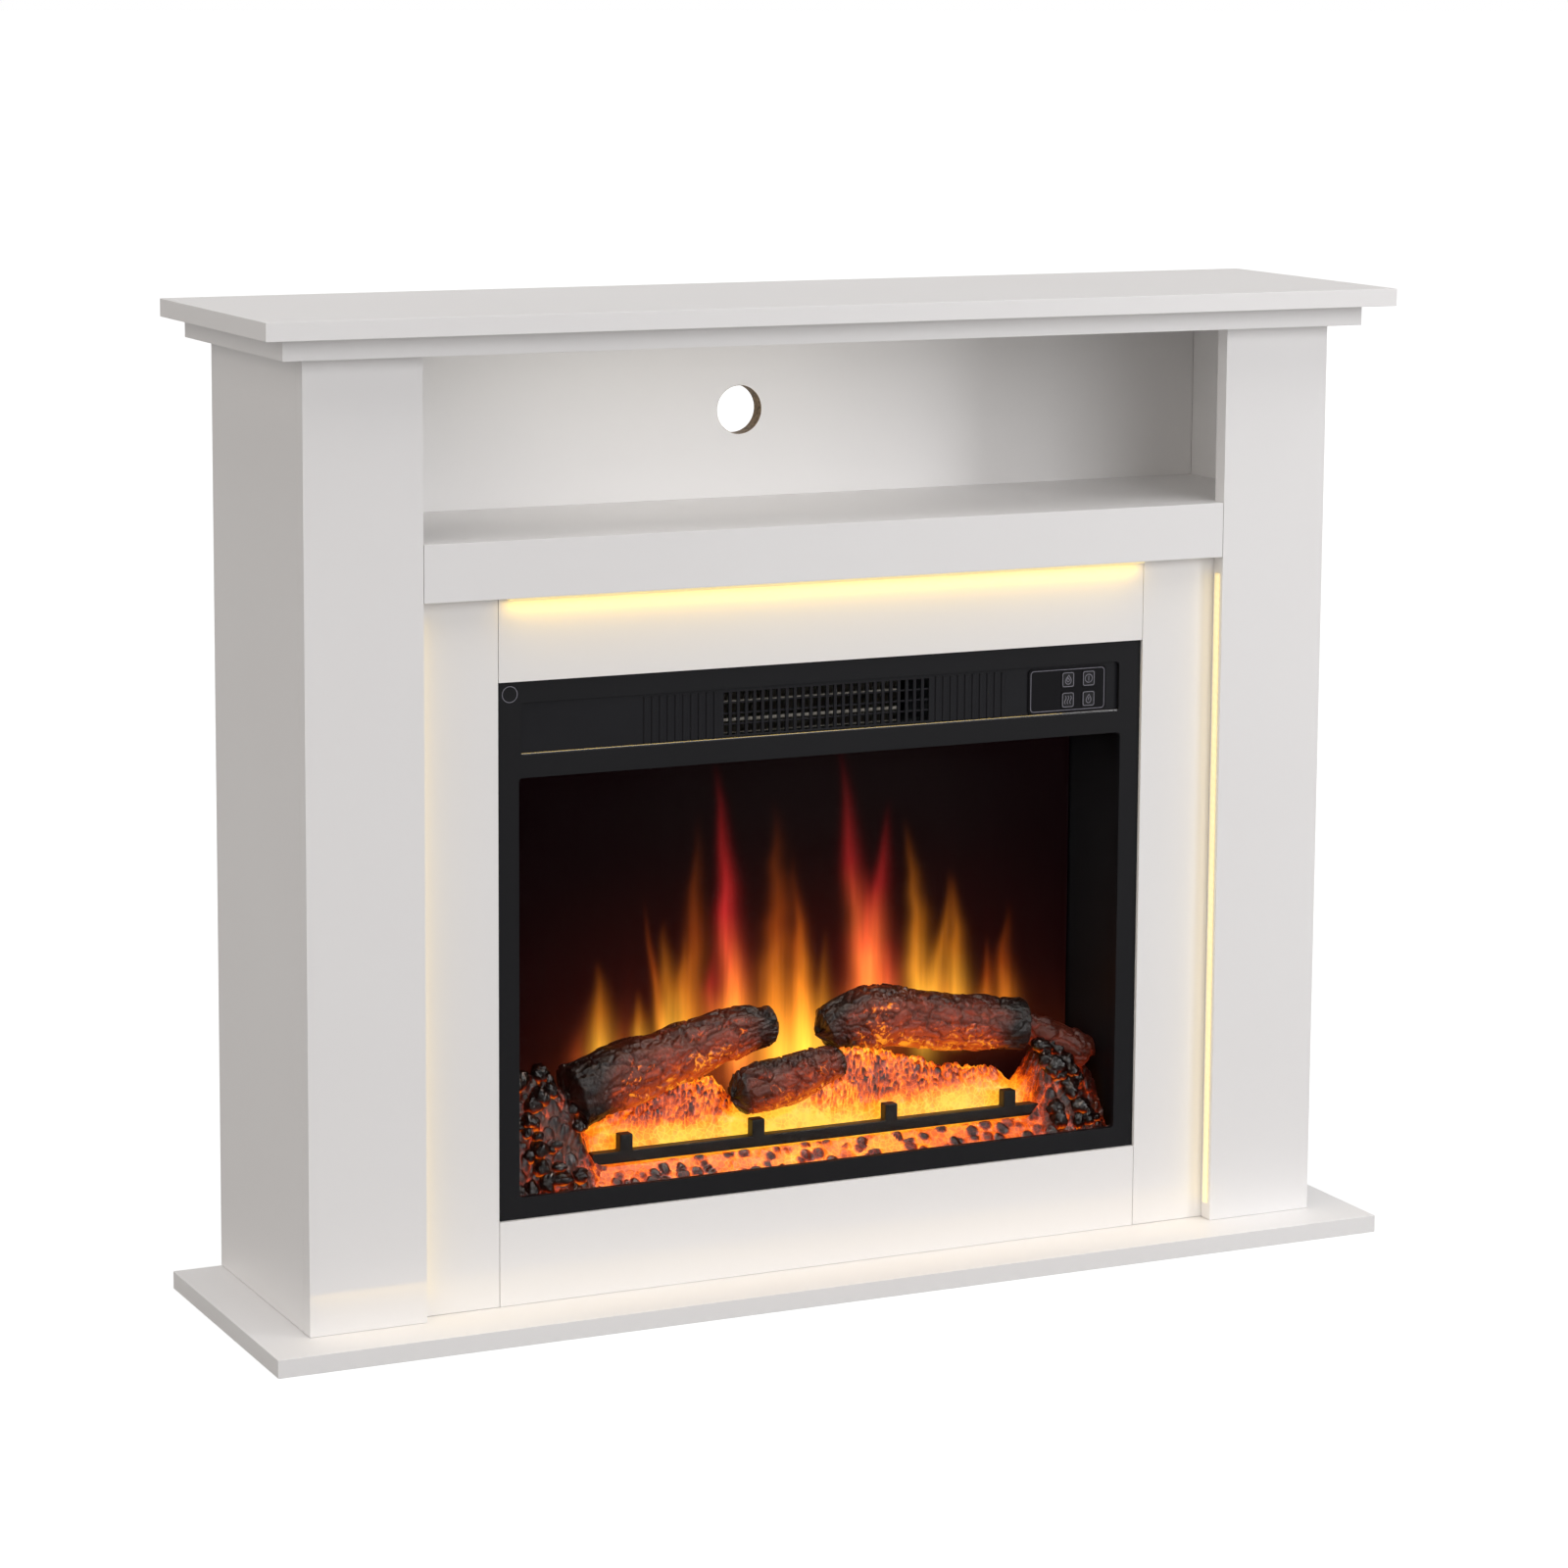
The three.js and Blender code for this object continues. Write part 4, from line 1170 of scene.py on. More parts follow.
def bed_shape():
    """Heights, glow and crust of the ember bed on a grid, in millimetres."""
    across = np.linspace(-337, 337, 430)
    back = np.concatenate([np.linspace(11.6, 40, 44), np.linspace(40.6, 113, 92)])
    x, y = (grid.ravel() for grid in np.meshgrid(across, back))
    base = np.interp(y, *BED_PROFILE)
    mound = np.interp(x, *BED_MOUNDS) * np.exp(-(((y - 75) / 13.0) ** 2))
    climb = ease(13, 60, y) * (1 - 0.45 * ease(72, 112, y))
    left = 12 + (np.interp(x, *LEFT_HEAP) - 12) * climb
    right = 12 + (np.interp(x, *RIGHT_HEAP) - 12) * climb
    corner = ease(-226, -256, x) + ease(250, 280, x)
    heap = np.where(x < 0, left, right)
    plain = base + mound
    height = plain * (1 - corner) + heap * corner
    place = np.stack([x, y, height], axis=1)
    on_mound = ease(4, 15, mound) * (1 - corner)
    on_strip = ease(40, 36, y) * (1 - corner)
    on_band = (1 - on_mound) * (1 - on_strip) * (1 - corner)
    near, far, number = lump_noise(place / 13.0, 3)
    inside = 1 - near**2
    gap = ease(0.0, 0.28, far - near)
    fine, fine_far, _ = lump_noise(place / 6.5, 9)
    fine_gap = ease(0.0, 0.3, fine_far - fine)
    wander = rough_noise(place / 24.0, 5)
    rise = on_strip * (2.8 * inside * gap * (number > 0.30))
    rise += on_mound * (4.2 * gap + 2.6 * fine_gap + 3.0 * wander)
    rise += on_band * (0.5 * wander)
    rise += corner * (8.0 * inside * gap + 2.0 * fine_gap + 3.0 * wander)
    # Glow: bright in the flat band and between lumps, dull on the lumps and in the corners.
    middle = np.exp(-(((x - 10) / 250.0) ** 4))
    pebble = ease(0.25, 0.45, number) * ease(0.66, 0.44, near)
    strip_glow = 0.62 - 0.50 * pebble + 0.10 * wander
    strip_glow -= 0.50 * ease(21, 12.5, y)
    crown = ease(0.60, 1.0, mound / np.maximum(np.interp(x, *BED_MOUNDS), 1))
    foot = ease(64, 56, y)
    lump = gap * ease(0.15, 0.5, fine_gap)
    mound_glow = 0.42 - 0.30 * lump + 0.16 * (1 - fine_gap) + 0.20 * wander
    mound_glow += 0.22 * crown**8 + 0.45 * foot**2
    band_glow = 0.90 + 0.08 * wander
    corner_glow = 0.52 * (1 - gap) * ease(0.4, 0.6, number) + 0.14 * (1 - fine_gap) - 0.12 + 0.18 * wander
    glow = on_strip * strip_glow + on_mound * mound_glow + on_band * band_glow + corner * corner_glow
    # Painted shade: the glow is dimmed in the band under the grate bar.
    shade_under_bar = ease(36, 40, y) * ease(53, 49, y) * (1 - corner)
    glow = glow * (0.62 + 0.38 * middle) - 0.16 * shade_under_bar
    crust = on_strip * pebble
    crust += on_mound * lump * (1 - 0.8 * foot) + corner * (0.55 + 0.45 * gap)
    skirt = y < 12.2
    height = height + rise
    height[skirt] = 4.0
    return x, y, height, np.clip(glow, 0, 1), np.clip(crust, 0, 1), len(back), len(across)


# Each log: its frame node, then points along its core across, back, up and its radius.
LOGS = {
    "left_log_bark": (
        "left_log",
        (
            (-256, 68, 97, 32),
            (-186, 76, 114, 33),
            (-118, 84, 130, 29),
            (-62, 90, 141, 26),
            (-14, 95, 146, 20),
        ),
    ),
    "right_log_bark": (
        "right_log",
        (
            (36, 92, 131, 20),
            (78, 90, 143, 31),
            (128, 88, 140, 31),
            (190, 84, 130, 29),
            (272, 77, 121, 27),
        ),
    ),
    "middle_log_bark": (
        "middle_log",
        ((-76, 57, 82, 20), (-50, 60, 87, 26), (-12, 64, 93, 26), (24, 67, 102, 21), (52, 69, 109, 15)),
    ),
}

BRANCH = ((262, 84, 120, 12), (284, 76, 113, 18), (312, 64, 99, 19), (338, 54, 86, 15))


def log_skin(stations, seed, around=132, along=230):
    """Bark wound round a curved core: its points, and what its glow and char are worked out from."""
    path = smooth_path(stations, along)
    core, radius = path[:, :3], path[:, 3]
    ahead = np.gradient(core, axis=0)
    ahead /= np.linalg.norm(ahead, axis=1)[:, None]
    side = np.cross(ahead, (0, 0, 1))
    side /= np.linalg.norm(side, axis=1)[:, None]
    top = np.cross(side, ahead)
    run = np.concatenate([[0], np.cumsum(np.linalg.norm(np.diff(core, axis=0), axis=1))])
    turn = np.linspace(0, 2 * math.pi, around, endpoint=False)
    length, angle = (grid.ravel() for grid in np.meshgrid(run, turn, indexing="ij"))
    ring = np.repeat(np.arange(along), around)
    size = radius[ring]
    out = side[ring] * np.cos(angle)[:, None] + top[ring] * np.sin(angle)[:, None]
    skin = np.stack([length, size * np.cos(angle), size * np.sin(angle)], axis=1)
    bend = 5.0 * np.stack([rough_noise(skin / 15.0, seed + axis) for axis in (60, 70, 80)], axis=1)
    near, far, number = lump_noise((skin + bend) / (34.0, 15.0, 15.0), seed)
    plate = ease(0.0, 0.13, far - near)
    fine, fine_far, fine_number = lump_noise((skin + bend) / (13.0, 6.0, 6.0), seed + 20)
    chip = 1 - (1 - ease(0.0, 0.2, fine_far - fine)) * (fine_number > 0.45)
    swell = rough_noise(skin / 36.0, seed + 30)
    grain = rough_noise(skin / (20.0, 4.0, 4.0), seed + 40, 2)
    lift = 3.0 * (plate - 1) + 1.6 * (chip - 1) + 3.2 * swell + 0.6 * grain + 3.0 * (number - 0.5) * plate
    reach = size + lift
    # The ends are broken off: they close over a few rings, with a jagged rim.
    total = run[-1]
    end = np.minimum(length, total - length)
    close = np.clip(end / 7.0, 0, 1) ** 0.45
    points = core[ring] + out * (reach * close)[:, None]
    jag = np.where(length < total / 2, -1, 1) * (1 - close) * 5 * rough_noise(skin / 8.0, seed + 50)
    points += ahead[ring] * jag[:, None]
    return points, length, total, angle, plate, chip, swell, number, around, along


def flame_strength(x, z, base, tip, width, seed):
    """How strongly one flame lights each point of the screen, and how far up it each point is."""
    height = tip[1] - base[1]
    up = (z - base[1]) / height
    sway = soft_noise(np.stack([z / 60.0, np.full_like(z, seed * 1.7), x * 0], axis=1), seed)
    flick = soft_noise(np.stack([z / 22.0, np.full_like(z, seed * 2.3), x * 0], axis=1), seed + 5)
    middle = base[0] + (tip[0] - base[0]) * up + (sway * 0.35 + flick * 0.12) * width * ease(0, 0.4, up)
    body = width * (0.45 + 0.55 * ease(1.05, 0.1, up)) * np.clip(1.02 - up, 0.02, 1) ** 0.22
    reach = (x - middle) / body
    # The left edge of each tongue is sharper than the right, as the foil sweeps across.
    reach = np.where(reach < 0, reach * 1.25, reach * 0.85)
    core = np.exp(-(np.abs(reach) ** 1.6))
    fade = ease(-0.35, 0.0, up) * np.clip(1 - up, 0, 1) ** 1.15
    return core * fade, np.clip(up, 0, 1)


# The darkest tint paints broad dim red-brown glows of thrown light behind the flames.
TINTS = {
    "gold": ("#FFBC3C", "#F28E22", "#A8480E"),
    "amber": ("#F48E28", "#BC5212", "#4E1C07"),
    "scarlet": ("#FF8434", "#EA3432", "#8A0A10"),
    "rose": ("#F07A44", "#E0402E", "#A01A16"),
    "dim_glow": ("#7A3010", "#4E1C0A", "#240A04"),
}

# Each flame: foot across and up, tip across and up, half width, tint, strength.
FLAMES = (
    (-222, 128, -212, 200, 13, "dim_glow", 0.9),
    (-200, 122, -200, 226, 12, "gold", 0.95),
    (-176, 128, -170, 200, 13, "dim_glow", 0.9),
    (-155, 134, -158, 192, 8, "gold", 0.7),
    (-131, 140, -151, 292, 5, "amber", 0.8),
    (-124, 136, -128, 262, 12, "gold", 0.85),
    (-100, 136, -92, 372, 13, "amber", 0.75),
    (-108, 140, -104, 250, 9, "gold", 0.5),
    (-72, 146, -72, 240, 13, "scarlet", 0.6),
    (-56, 140, -50, 220, 12, "gold", 0.5),
    (-47, 130, -72, 420, 13, "scarlet", 1.25),
    (-45, 130, -52, 245, 12, "gold", 0.65),
    (-5, 130, -7, 380, 17, "amber", 0.95),
    (2, 110, -5, 238, 15, "gold", 0.75),
    (34, 100, 22, 268, 12, "gold", 1.3),
    (26, 130, 18, 330, 10, "amber", 0.9),
    (50, 120, 57, 240, 9, "gold", 0.55),
    (20, 96, 20, 190, 38, "gold", 0.75),
    (101, 140, 102, 300, 24, "scarlet", 1.2),
    (104, 140, 106, 205, 18, "gold", 0.5),
    (96, 200, 72, 430, 12, "scarlet", 0.6),
    (108, 200, 125, 368, 11, "scarlet", 0.62),
    (128, 140, 124, 220, 12, "rose", 0.7),
    (166, 132, 147, 345, 13, "gold", 0.85),
    (168, 132, 158, 240, 16, "gold", 0.6),
    (180, 140, 202, 288, 11, "gold", 0.8),
    (208, 134, 203, 282, 11, "gold", 0.95),
    (192, 130, 194, 200, 24, "amber", 0.7),
    (244, 128, 244, 216, 8, "amber", 0.85),
    (266, 126, 266, 250, 10, "amber", 0.9),
    (-20, 90, -10, 170, 90, "dim_glow", 0.9),
    (140, 110, 150, 240, 120, "dim_glow", 0.45),
    (-150, 100, -150, 230, 110, "dim_glow", 0.5),
)


def flame_picture(x, z):
    """The colour of each point of the screen."""
    light = np.zeros((len(x), 3))
    for seed, (foot_x, foot_z, tip_x, tip_z, width, tint, power) in enumerate(FLAMES):
        strength, up = flame_strength(x, z, (foot_x, foot_z), (tip_x, tip_z), width, seed + 1)
        shades = [to_linear(shade)[:3] for shade in TINTS[tint]]
        for channel in range(3):
            shade = np.interp(up, (0.0, 0.45, 1.0), [part[channel] for part in shades])
            light[:, channel] += strength * shade * power
    # A broad dim red glow of thrown light lies behind the flames.
    red_glow = np.exp(-(((x - 10) / 230.0) ** 2) - ((z - 130) / 120.0) ** 2)
    light += red_glow[:, None] * to_linear("#3A0D07")[:3]
    light += to_linear("#070102")[:3]
    return light


# ---------------------------------------------------------------- operators

# Each soft box: name, where it stands, strength, spread in degrees, colour.
SOFT_BOXES = (
    ("front_fill", (0.06, -0.96, 0.28), 0.70, 36.0, "#FDFDFF"),
    ("left_fill", (-0.93, -0.28, 0.22), 1.50, 80.0, "#FFF9F3"),
    ("back_fill", (0.25, 0.94, 0.25), 0.42, 80.0, "#FFFDFB"),
    ("top_box", (0.12, -0.20, 0.98), 1.60, 60.0, "#FFFDFC"),
)
KEY_PLACE = (2.50, -2.70, 1.62)
KEY_WATTS = 31.0
# The lamp under the beam is this many times as strong as the upright ones, metre for metre.
BEAM_SHARE = 11.0
STRIP_LIGHT = "#FFCE14"
FLOOR_HALF = 90.0
CAMERA_PLACE = (-1.96014, -4.10332, 1.33904)
CAMERA_YAW = 0.44357
CAMERA_PITCH = -0.14106
CAMERA_ROLL = 0.00649


class FIREPLACE_OT_stage(bpy.types.Operator):
    """Lays the pale floor and sets the studio lights and the camera"""

    bl_idname = "fireplace.stage"
    bl_label = "Stage"

    def execute(self, context):
        scene = context.scene
        mesh = bpy.data.meshes.new("studio_floor")
        corners = [(x * FLOOR_HALF, y * FLOOR_HALF, 0) for x, y in ((-1, -1), (1, -1), (1, 1), (-1, 1))]
        mesh.from_pydata(corners, [], [(0, 1, 2, 3)])
        floor = bpy.data.objects.new("studio_floor", mesh)
        scene.collection.objects.link(floor)
        material, tree, shader, place = start_material("pale studio paper")
        # Paper has a tooth of about 2 mm. It looks white, but throws back only part of the light.
        tooth = add_node(tree, "ShaderNodeTexNoise", {"Vector": place, "Scale": 500.0})
        rough = add_node(
            tree,
            "ShaderNodeMapRange",
            {"Value": tooth.outputs[0], "To Min": 0.8, "To Max": 0.95},
        )
        path = add_node(tree, "ShaderNodeLightPath")
        level = add_node(
            tree,
            "ShaderNodeMapRange",
            {"Value": path.outputs["Is Camera Ray"], "To Min": 0.02, "To Max": 0.82},
        )
        set_inputs(
            shader,
            {
                "Base Color": to_linear("#989898"),
                "Roughness": rough.outputs[0],
                "Specular IOR Level": 0.1,
                "Emission Color": to_linear("#FFFFFF"),
                "Emission Strength": level.outputs[0],
            },
        )
        mesh.materials.append(material)
        self.light_world(scene)
        for name, towards, strength, spread, colour in SOFT_BOXES:
            self.add_sun(name, towards, strength, spread, colour)
        key = self.add_panel("key_box", KEY_PLACE, (-0.66, 0.73, -0.15), (0.75, 2.0), KEY_WATTS, "#FDFDFF")
        key.rotation_euler = (math.radians(77), 0, math.radians(42))
        low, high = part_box("niche_back_panel")
        shelf_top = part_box("niche_shelf")[1].z
        in_niche = (-0.10, low.y - 0.19, shelf_top + 0.70 * (high.z - shelf_top))
        self.add_panel("niche_fill", in_niche, (0, 1, 0.12), (0.5, 0.05), 0.11, "#FFFCF4")
        self.light_strips(context)
        self.light_fire()
        self.place_camera(scene)
        scene.view_settings.view_transform = "Standard"
        return {"FINISHED"}

    def light_world(self, scene):
        """A white surround that lights the object softly."""
        world = bpy.data.worlds.new("studio_white")
        scene.world = world
        world.use_nodes = True
        tree = world.node_tree
        tree.nodes.clear()
        path = add_node(tree, "ShaderNodeLightPath")
        seen = add_node(tree, "ShaderNodeBackground", {"Color": to_linear("#FFFFFF"), "Strength": 1.0})
        lit = add_node(tree, "ShaderNodeBackground", {"Color": to_linear("#FCFCFF"), "Strength": 0.12})
        both = add_node(
            tree,
            "ShaderNodeMixShader",
            {0: path.outputs["Is Camera Ray"], 1: lit.outputs[0], 2: seen.outputs[0]},
        )
        add_node(tree, "ShaderNodeOutputWorld", {"Surface": both.outputs[0]})

    def add_sun(self, name, towards, strength, spread, colour):
        """A far soft box that stands in the given direction."""
        lamp = bpy.data.lights.new(name, "SUN")
        lamp.energy = strength
        lamp.angle = math.radians(spread)
        lamp.color = to_linear(colour)[:3]
        light = bpy.data.objects.new(name, lamp)
        light.rotation_euler = Vector(towards).to_track_quat("Z", "Y").to_euler()
        bpy.context.scene.collection.objects.link(light)

    def add_panel(self, name, centre, towards, size, watts, colour):
        """A small flat lamp that the camera doesn't see."""
        lamp = bpy.data.lights.new(name, "AREA")
        lamp.shape = "RECTANGLE"
        lamp.size, lamp.size_y = size
        lamp.energy = watts
        lamp.color = to_linear(colour)[:3]
        light = bpy.data.objects.new(name, lamp)
        light.location = centre
        light.rotation_euler = Vector(towards).to_track_quat("-Z", "Y").to_euler()
        light.visible_camera = False
        bpy.context.scene.collection.objects.link(light)
        return light

    def light_strips(self, context):
        """The light that the strips throw on the boards."""
        power = context.scene.fireplace_sizes.strip_power
        for side, name in ((-1, "led_strip_left"), (1, "led_strip_right")):
            low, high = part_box(name)
            length = high.z - low.z
            inner = low.x if side > 0 else high.x
            centre = (inner - side * 0.0006, (low.y + high.y) / 2, (low.z + high.z) / 2)
            size = (0.006, length)
            watts = power * length
            lamp = self.add_panel(name + "_light", centre, (-side, 0, 0), size, watts, STRIP_LIGHT)
            lamp.rotation_euler = Matrix(((0, 0, side), (1, 0, 0), (0, side, 0))).to_euler()
        low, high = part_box("led_strip_beam")
        length = high.x - low.x
        centre = ((low.x + high.x) / 2, (low.y + high.y) / 2, low.z - 0.0006)
        watts = power * length * BEAM_SHARE
        self.add_panel("led_strip_beam_light", centre, (0, 0, -1), (length, 0.006), watts, STRIP_LIGHT)
        foot = (-0.06, -0.116, 0.062)
        # No strip stands for this glow at the foot of the lower fascia.
        self.add_panel("foot_glow", foot, (0, -0.10, -1), (1.0, 0.01), power * 1.5, STRIP_LIGHT)

    def light_fire(self):
        """A warm lamp over the embers and a faint white one that gives the coals their glints."""
        self.add_panel("ember_top_light", fire(0, 60, 300), (0, 0.25, -1), (0.5, 0.05), 0.07, "#FF8A40")
        self.add_panel("glint_light", fire(60, 24, 432), (0, 0.12, -1), (0.36, 0.02), 0.46, "#FFF0E4")

    def place_camera(self, scene):
        """The camera, a step to the left of the middle and a little above it."""
        lens = bpy.data.cameras.new("camera")
        lens.lens = 104.1
        lens.sensor_width = 36.0
        lens.shift_y = -0.12
        lens.clip_end = 400.0
        camera = bpy.data.objects.new("camera", lens)
        level = math.cos(CAMERA_PITCH)
        across, along = math.sin(CAMERA_YAW) * level, math.cos(CAMERA_YAW) * level
        ahead = Vector((across, along, math.sin(CAMERA_PITCH)))
        right = Vector((math.cos(CAMERA_YAW), -math.sin(CAMERA_YAW), 0))
        up = right.cross(ahead)
        tilted_right = right * math.cos(CAMERA_ROLL) + up * math.sin(CAMERA_ROLL)
        tilted_up = up * math.cos(CAMERA_ROLL) - right * math.sin(CAMERA_ROLL)
        turned = Matrix((tilted_right, tilted_up, -ahead)).transposed().to_4x4()
        camera.matrix_world = Matrix.Translation(CAMERA_PLACE) @ turned
        scene.collection.objects.link(camera)
        scene.camera = camera


class FIREPLACE_OT_boards(bpy.types.Operator):
    """Faces the boards of the surround with satin white melamine"""

    bl_idname = "fireplace.boards"
    bl_label = "Boards"

    def execute(self, context):
        dress(BOARDS, context.scene.fireplace_sizes.board_edge)
        return {"FINISHED"}


class FIREPLACE_OT_light_strips(bpy.types.Operator):
    """Lights the strips round the opening"""

    bl_idname = "fireplace.light_strips"
    bl_label = "Light strips"

    def execute(self, context):
        dress(STRIPS)
        return {"FINISHED"}


class FIREPLACE_OT_insert_front(bpy.types.Operator):
    """Finishes the steel bezel, the outlet fascia, the glass and its seal"""

    bl_idname = "fireplace.insert_front"
    bl_label = "Insert front"

    def execute(self, context):
        edge = context.scene.fireplace_sizes.steel_edge
        dress(("insert_frame", "outlet_fascia"), edge)
        dress(("front_glass", "glass_seal"))
        self.add_lower_lip()
        return {"FINISHED"}

    def add_lower_lip(self):
        """A polished slope along the foot of the outlet, which mirrors the strip under the beam."""
        angles = np.radians(np.linspace(12, 78, 9))
        section = [(3.9 - 3.6 * math.cos(turn), 462.1 + 2.9 * math.sin(turn)) for turn in angles]
        section += [(3.9, 464.9), (3.9, 462.1), (0.3, 462.1)]
        points = [fire(across, back, up) for across in (-331.5, 331.5) for back, up in section]
        faces = sheet_faces(2, len(section), closed=True)
        faces.append(tuple(range(len(section))))
        faces.append(tuple(reversed(range(len(section), 2 * len(section)))))
        add_piece(
            "outlet_lower_lip",
            points,
            faces,
            "polished_plastic",
            smooth=False,
            slot_name="black_plastic",
        )


def ribbon(path, width, closed=False):
    """A flat ribbon of even width that follows a path across and up, as points and faces."""
    path = np.array(path, float)
    if closed:
        ahead = np.roll(path, -1, axis=0) - np.roll(path, 1, axis=0)
    else:
        ahead = np.gradient(path, axis=0)
    ahead /= np.linalg.norm(ahead, axis=1)[:, None]
    side = np.stack([-ahead[:, 1], ahead[:, 0]], axis=1) * width / 2
    ring = np.empty((2 * len(path), 2))
    ring[0::2] = path - side
    ring[1::2] = path + side
    count = len(path)
    faces = []
    for place in range(count if closed else count - 1):
        after = (place + 1) % count
        faces.append((2 * place, 2 * after, 2 * after + 1, 2 * place + 1))
    return ring, faces


def rounded_square(width, height, radius, steps=5):
    """The outline of a rounded square about the middle."""
    points = []
    for corner in range(4):
        turn = corner * math.pi / 2
        sign_x = 1 if corner in (0, 3) else -1
        sign_y = 1 if corner in (0, 1) else -1
        for step in range(steps + 1):
            angle = turn + step / steps * math.pi / 2
            across = sign_x * (width / 2 - radius) + radius * math.cos(angle)
            points.append((across, sign_y * (height / 2 - radius) + radius * math.sin(angle)))
    return points


def drop_outline(width, height, lean, steps=26):
    """The outline of a flame or drop: round below, pointed above, with a leaning tip."""
    points = []
    for step in range(steps):
        angle = -math.pi / 2 + step / steps * 2 * math.pi
        up = (math.sin(angle) + 1) / 2
        pinch = (1 - up**2.2) ** 0.8
        points.append((width / 2 * math.cos(angle) * pinch + lean * up**2, height * (up - 0.5)))
    return points


def wave_line(middle, height, sway, steps=10):
    """A short upright wavy line."""
    places = np.linspace(-0.5, 0.5, steps)
    return [(middle + sway * math.sin(place * 2 * math.pi), place * height) for place in places]


SYMBOLS = {
    "button_power": ((drop_outline(7.6, 9.4, 0.8), True), (drop_outline(3.4, 4.6, -0.4), True)),
    "button_flame": ((rounded_square(8.4, 8.4, 4.2, 6), True), (wave_line(0, 5.2, 0.0), False)),
    "button_heat": tuple((wave_line(middle, 8.6, 0.9), False) for middle in (-3.0, 0.0, 3.0)),
    "button_embers": ((drop_outline(6.4, 9.0, 0.6), True), (wave_line(0, 3.4, 0.3), False)),
}


class FIREPLACE_OT_controls(bpy.types.Operator):
    """Finishes the control panel and prints the marks on its buttons"""

    bl_idname = "fireplace.controls"
    bl_label = "Controls"

    def execute(self, context):
        edge = context.scene.fireplace_sizes.steel_edge
        dress(("control_plate",), edge)
        dress(BUTTONS, edge * 0.5)
        for name, body in BUTTONS.items():
            low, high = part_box(name)
            middle = ((low.x + high.x) / 2, (low.z + high.z) / 2)
            marks = [(rounded_square(12.6, 14.2, 1.8), True), *SYMBOLS[name]]
            self.print_marks(name + "_mark", marks, middle, low.y - INK_LIFT, body)
        low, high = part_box("control_plate")
        frame_line = rounded_square((high.x - low.x) / MM - 5, (high.z - low.z) / MM - 5, 3.4)
        centre = ((low.x + high.x) / 2, (low.z + high.z) / 2)
        self.print_marks("panel_line", [(frame_line, True)], centre, low.y - INK_LIFT, ROOT)
        self.add_notice_disc()
        return {"FINISHED"}

    def print_marks(self, name, marks, middle, depth, body):
        """Prints thin lines about a middle, on the plane at a given depth."""
        points = []
        faces = []
        for path, closed in marks:
            ring, quads = ribbon(path, 0.7, closed)
            start = len(points)
            points += [(middle[0] + across * MM, depth, middle[1] + up * MM) for across, up in ring]
            faces += [tuple(start + corner for corner in quad) for quad in quads]
        add_piece(name, points, faces, "symbol_print", body, smooth=False)

    def add_notice_disc(self):
        """A plain printed ring at the top left of the bezel."""
        centre = fire(-343.5, 0, 523)
        outline = rounded_square(15.6, 15.6, 7.8, 10)
        middle = (centre[0], centre[2])
        self.print_marks("bezel_ring", [(outline, True)], middle, centre[1] - RING_LIFT, ROOT)


class FIREPLACE_OT_heater(bpy.types.Operator):
    """Builds the corrugated fins of the heater behind the outlet slots"""

    bl_idname = "fireplace.heater"
    bl_label = "Heater"

    def execute(self, context):
        low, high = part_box("heating_element")
        points = []
        faces = []
        tall = high.z - low.z
        count = int((high.x - low.x) / FOLD_PITCH * 2)
        for lower, upper in FOLD_BANDS:
            start = len(points)
            bottom = low.z + lower * tall
            top = low.z + upper * tall
            for step in range(count + 1):
                across = low.x + step * FOLD_PITCH / 2
                height = top if step % 2 else bottom
                points.append((across, low.y, height))
                points.append((across, high.y, height))
            for step in range(count):
                first = start + 2 * step
                faces.append((first, first + 2, first + 3, first + 1))
        for lower, upper in HEATER_BARS:
            start = len(points)
            for depth in (low.y + BAR_INSET, high.y - BAR_INSET):
                for across, up in ((low.x, lower), (high.x, lower), (high.x, upper), (low.x, upper)):
                    points.append((across, depth, low.z + up * tall))
            quads = ((0, 1, 2, 3), (7, 6, 5, 4), (0, 4, 5, 1), (3, 2, 6, 7), (1, 5, 6, 2), (4, 0, 3, 7))
            faces += [tuple(start + corner for corner in quad) for quad in quads]
        fins = add_piece("heater_ribbons", points, faces, "heater_fins", smooth=False)
        thick = fins.modifiers.new("Foil thickness", "SOLIDIFY")
        thick.thickness = FOIL_THICKNESS
        thick.offset = 0
        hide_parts("heating_element")
        return {"FINISHED"}


class FIREPLACE_OT_flames(bpy.types.Operator):
    """Paints the flames on the screen at the back of the fire"""

    bl_idname = "fireplace.flames"
    bl_label = "Flames"

    def execute(self, context):
        low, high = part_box("flame_screen")
        columns, rows = 340, 206
        across = np.linspace(low.x, high.x, columns)
        up = np.linspace(low.z, high.z, rows)
        x, z = (grid.ravel() for grid in np.meshgrid(across, up))
        light = flame_picture(x / MM, (z - FIRE_LOW.z) / MM)
        front = [(px, low.y, pz) for px, pz in zip(x, z)]
        faces = sheet_faces(rows, columns)
        colour = np.ones((len(x) + 4, 4))
        colour[: len(x), :3] = light
        colour[len(x) :, :3] = 0.002
        # The back and the edges close the sheet.
        base = len(front)
        sides = ((low.x, low.z), (high.x, low.z), (high.x, high.z), (low.x, high.z))
        back = [(side, high.y, height) for side, height in sides]
        faces.append((base + 1, base, base + 3, base + 2))
        bottom = list(range(columns))
        top = [(rows - 1) * columns + step for step in range(columns)]
        left = [row * columns for row in range(rows)]
        right = [row * columns + columns - 1 for row in range(rows)]
        faces.append((*reversed(bottom), base, base + 1))
        faces.append((*top, base + 2, base + 3))
        faces.append((*left, base + 3, base))
        faces.append((*reversed(right), base + 1, base + 2))
        points = front + back
        screen = add_piece("flame_picture", points, faces, "flame_screen", smooth=False, firelight=colour)
        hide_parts("flame_screen")
        return {"FINISHED"}


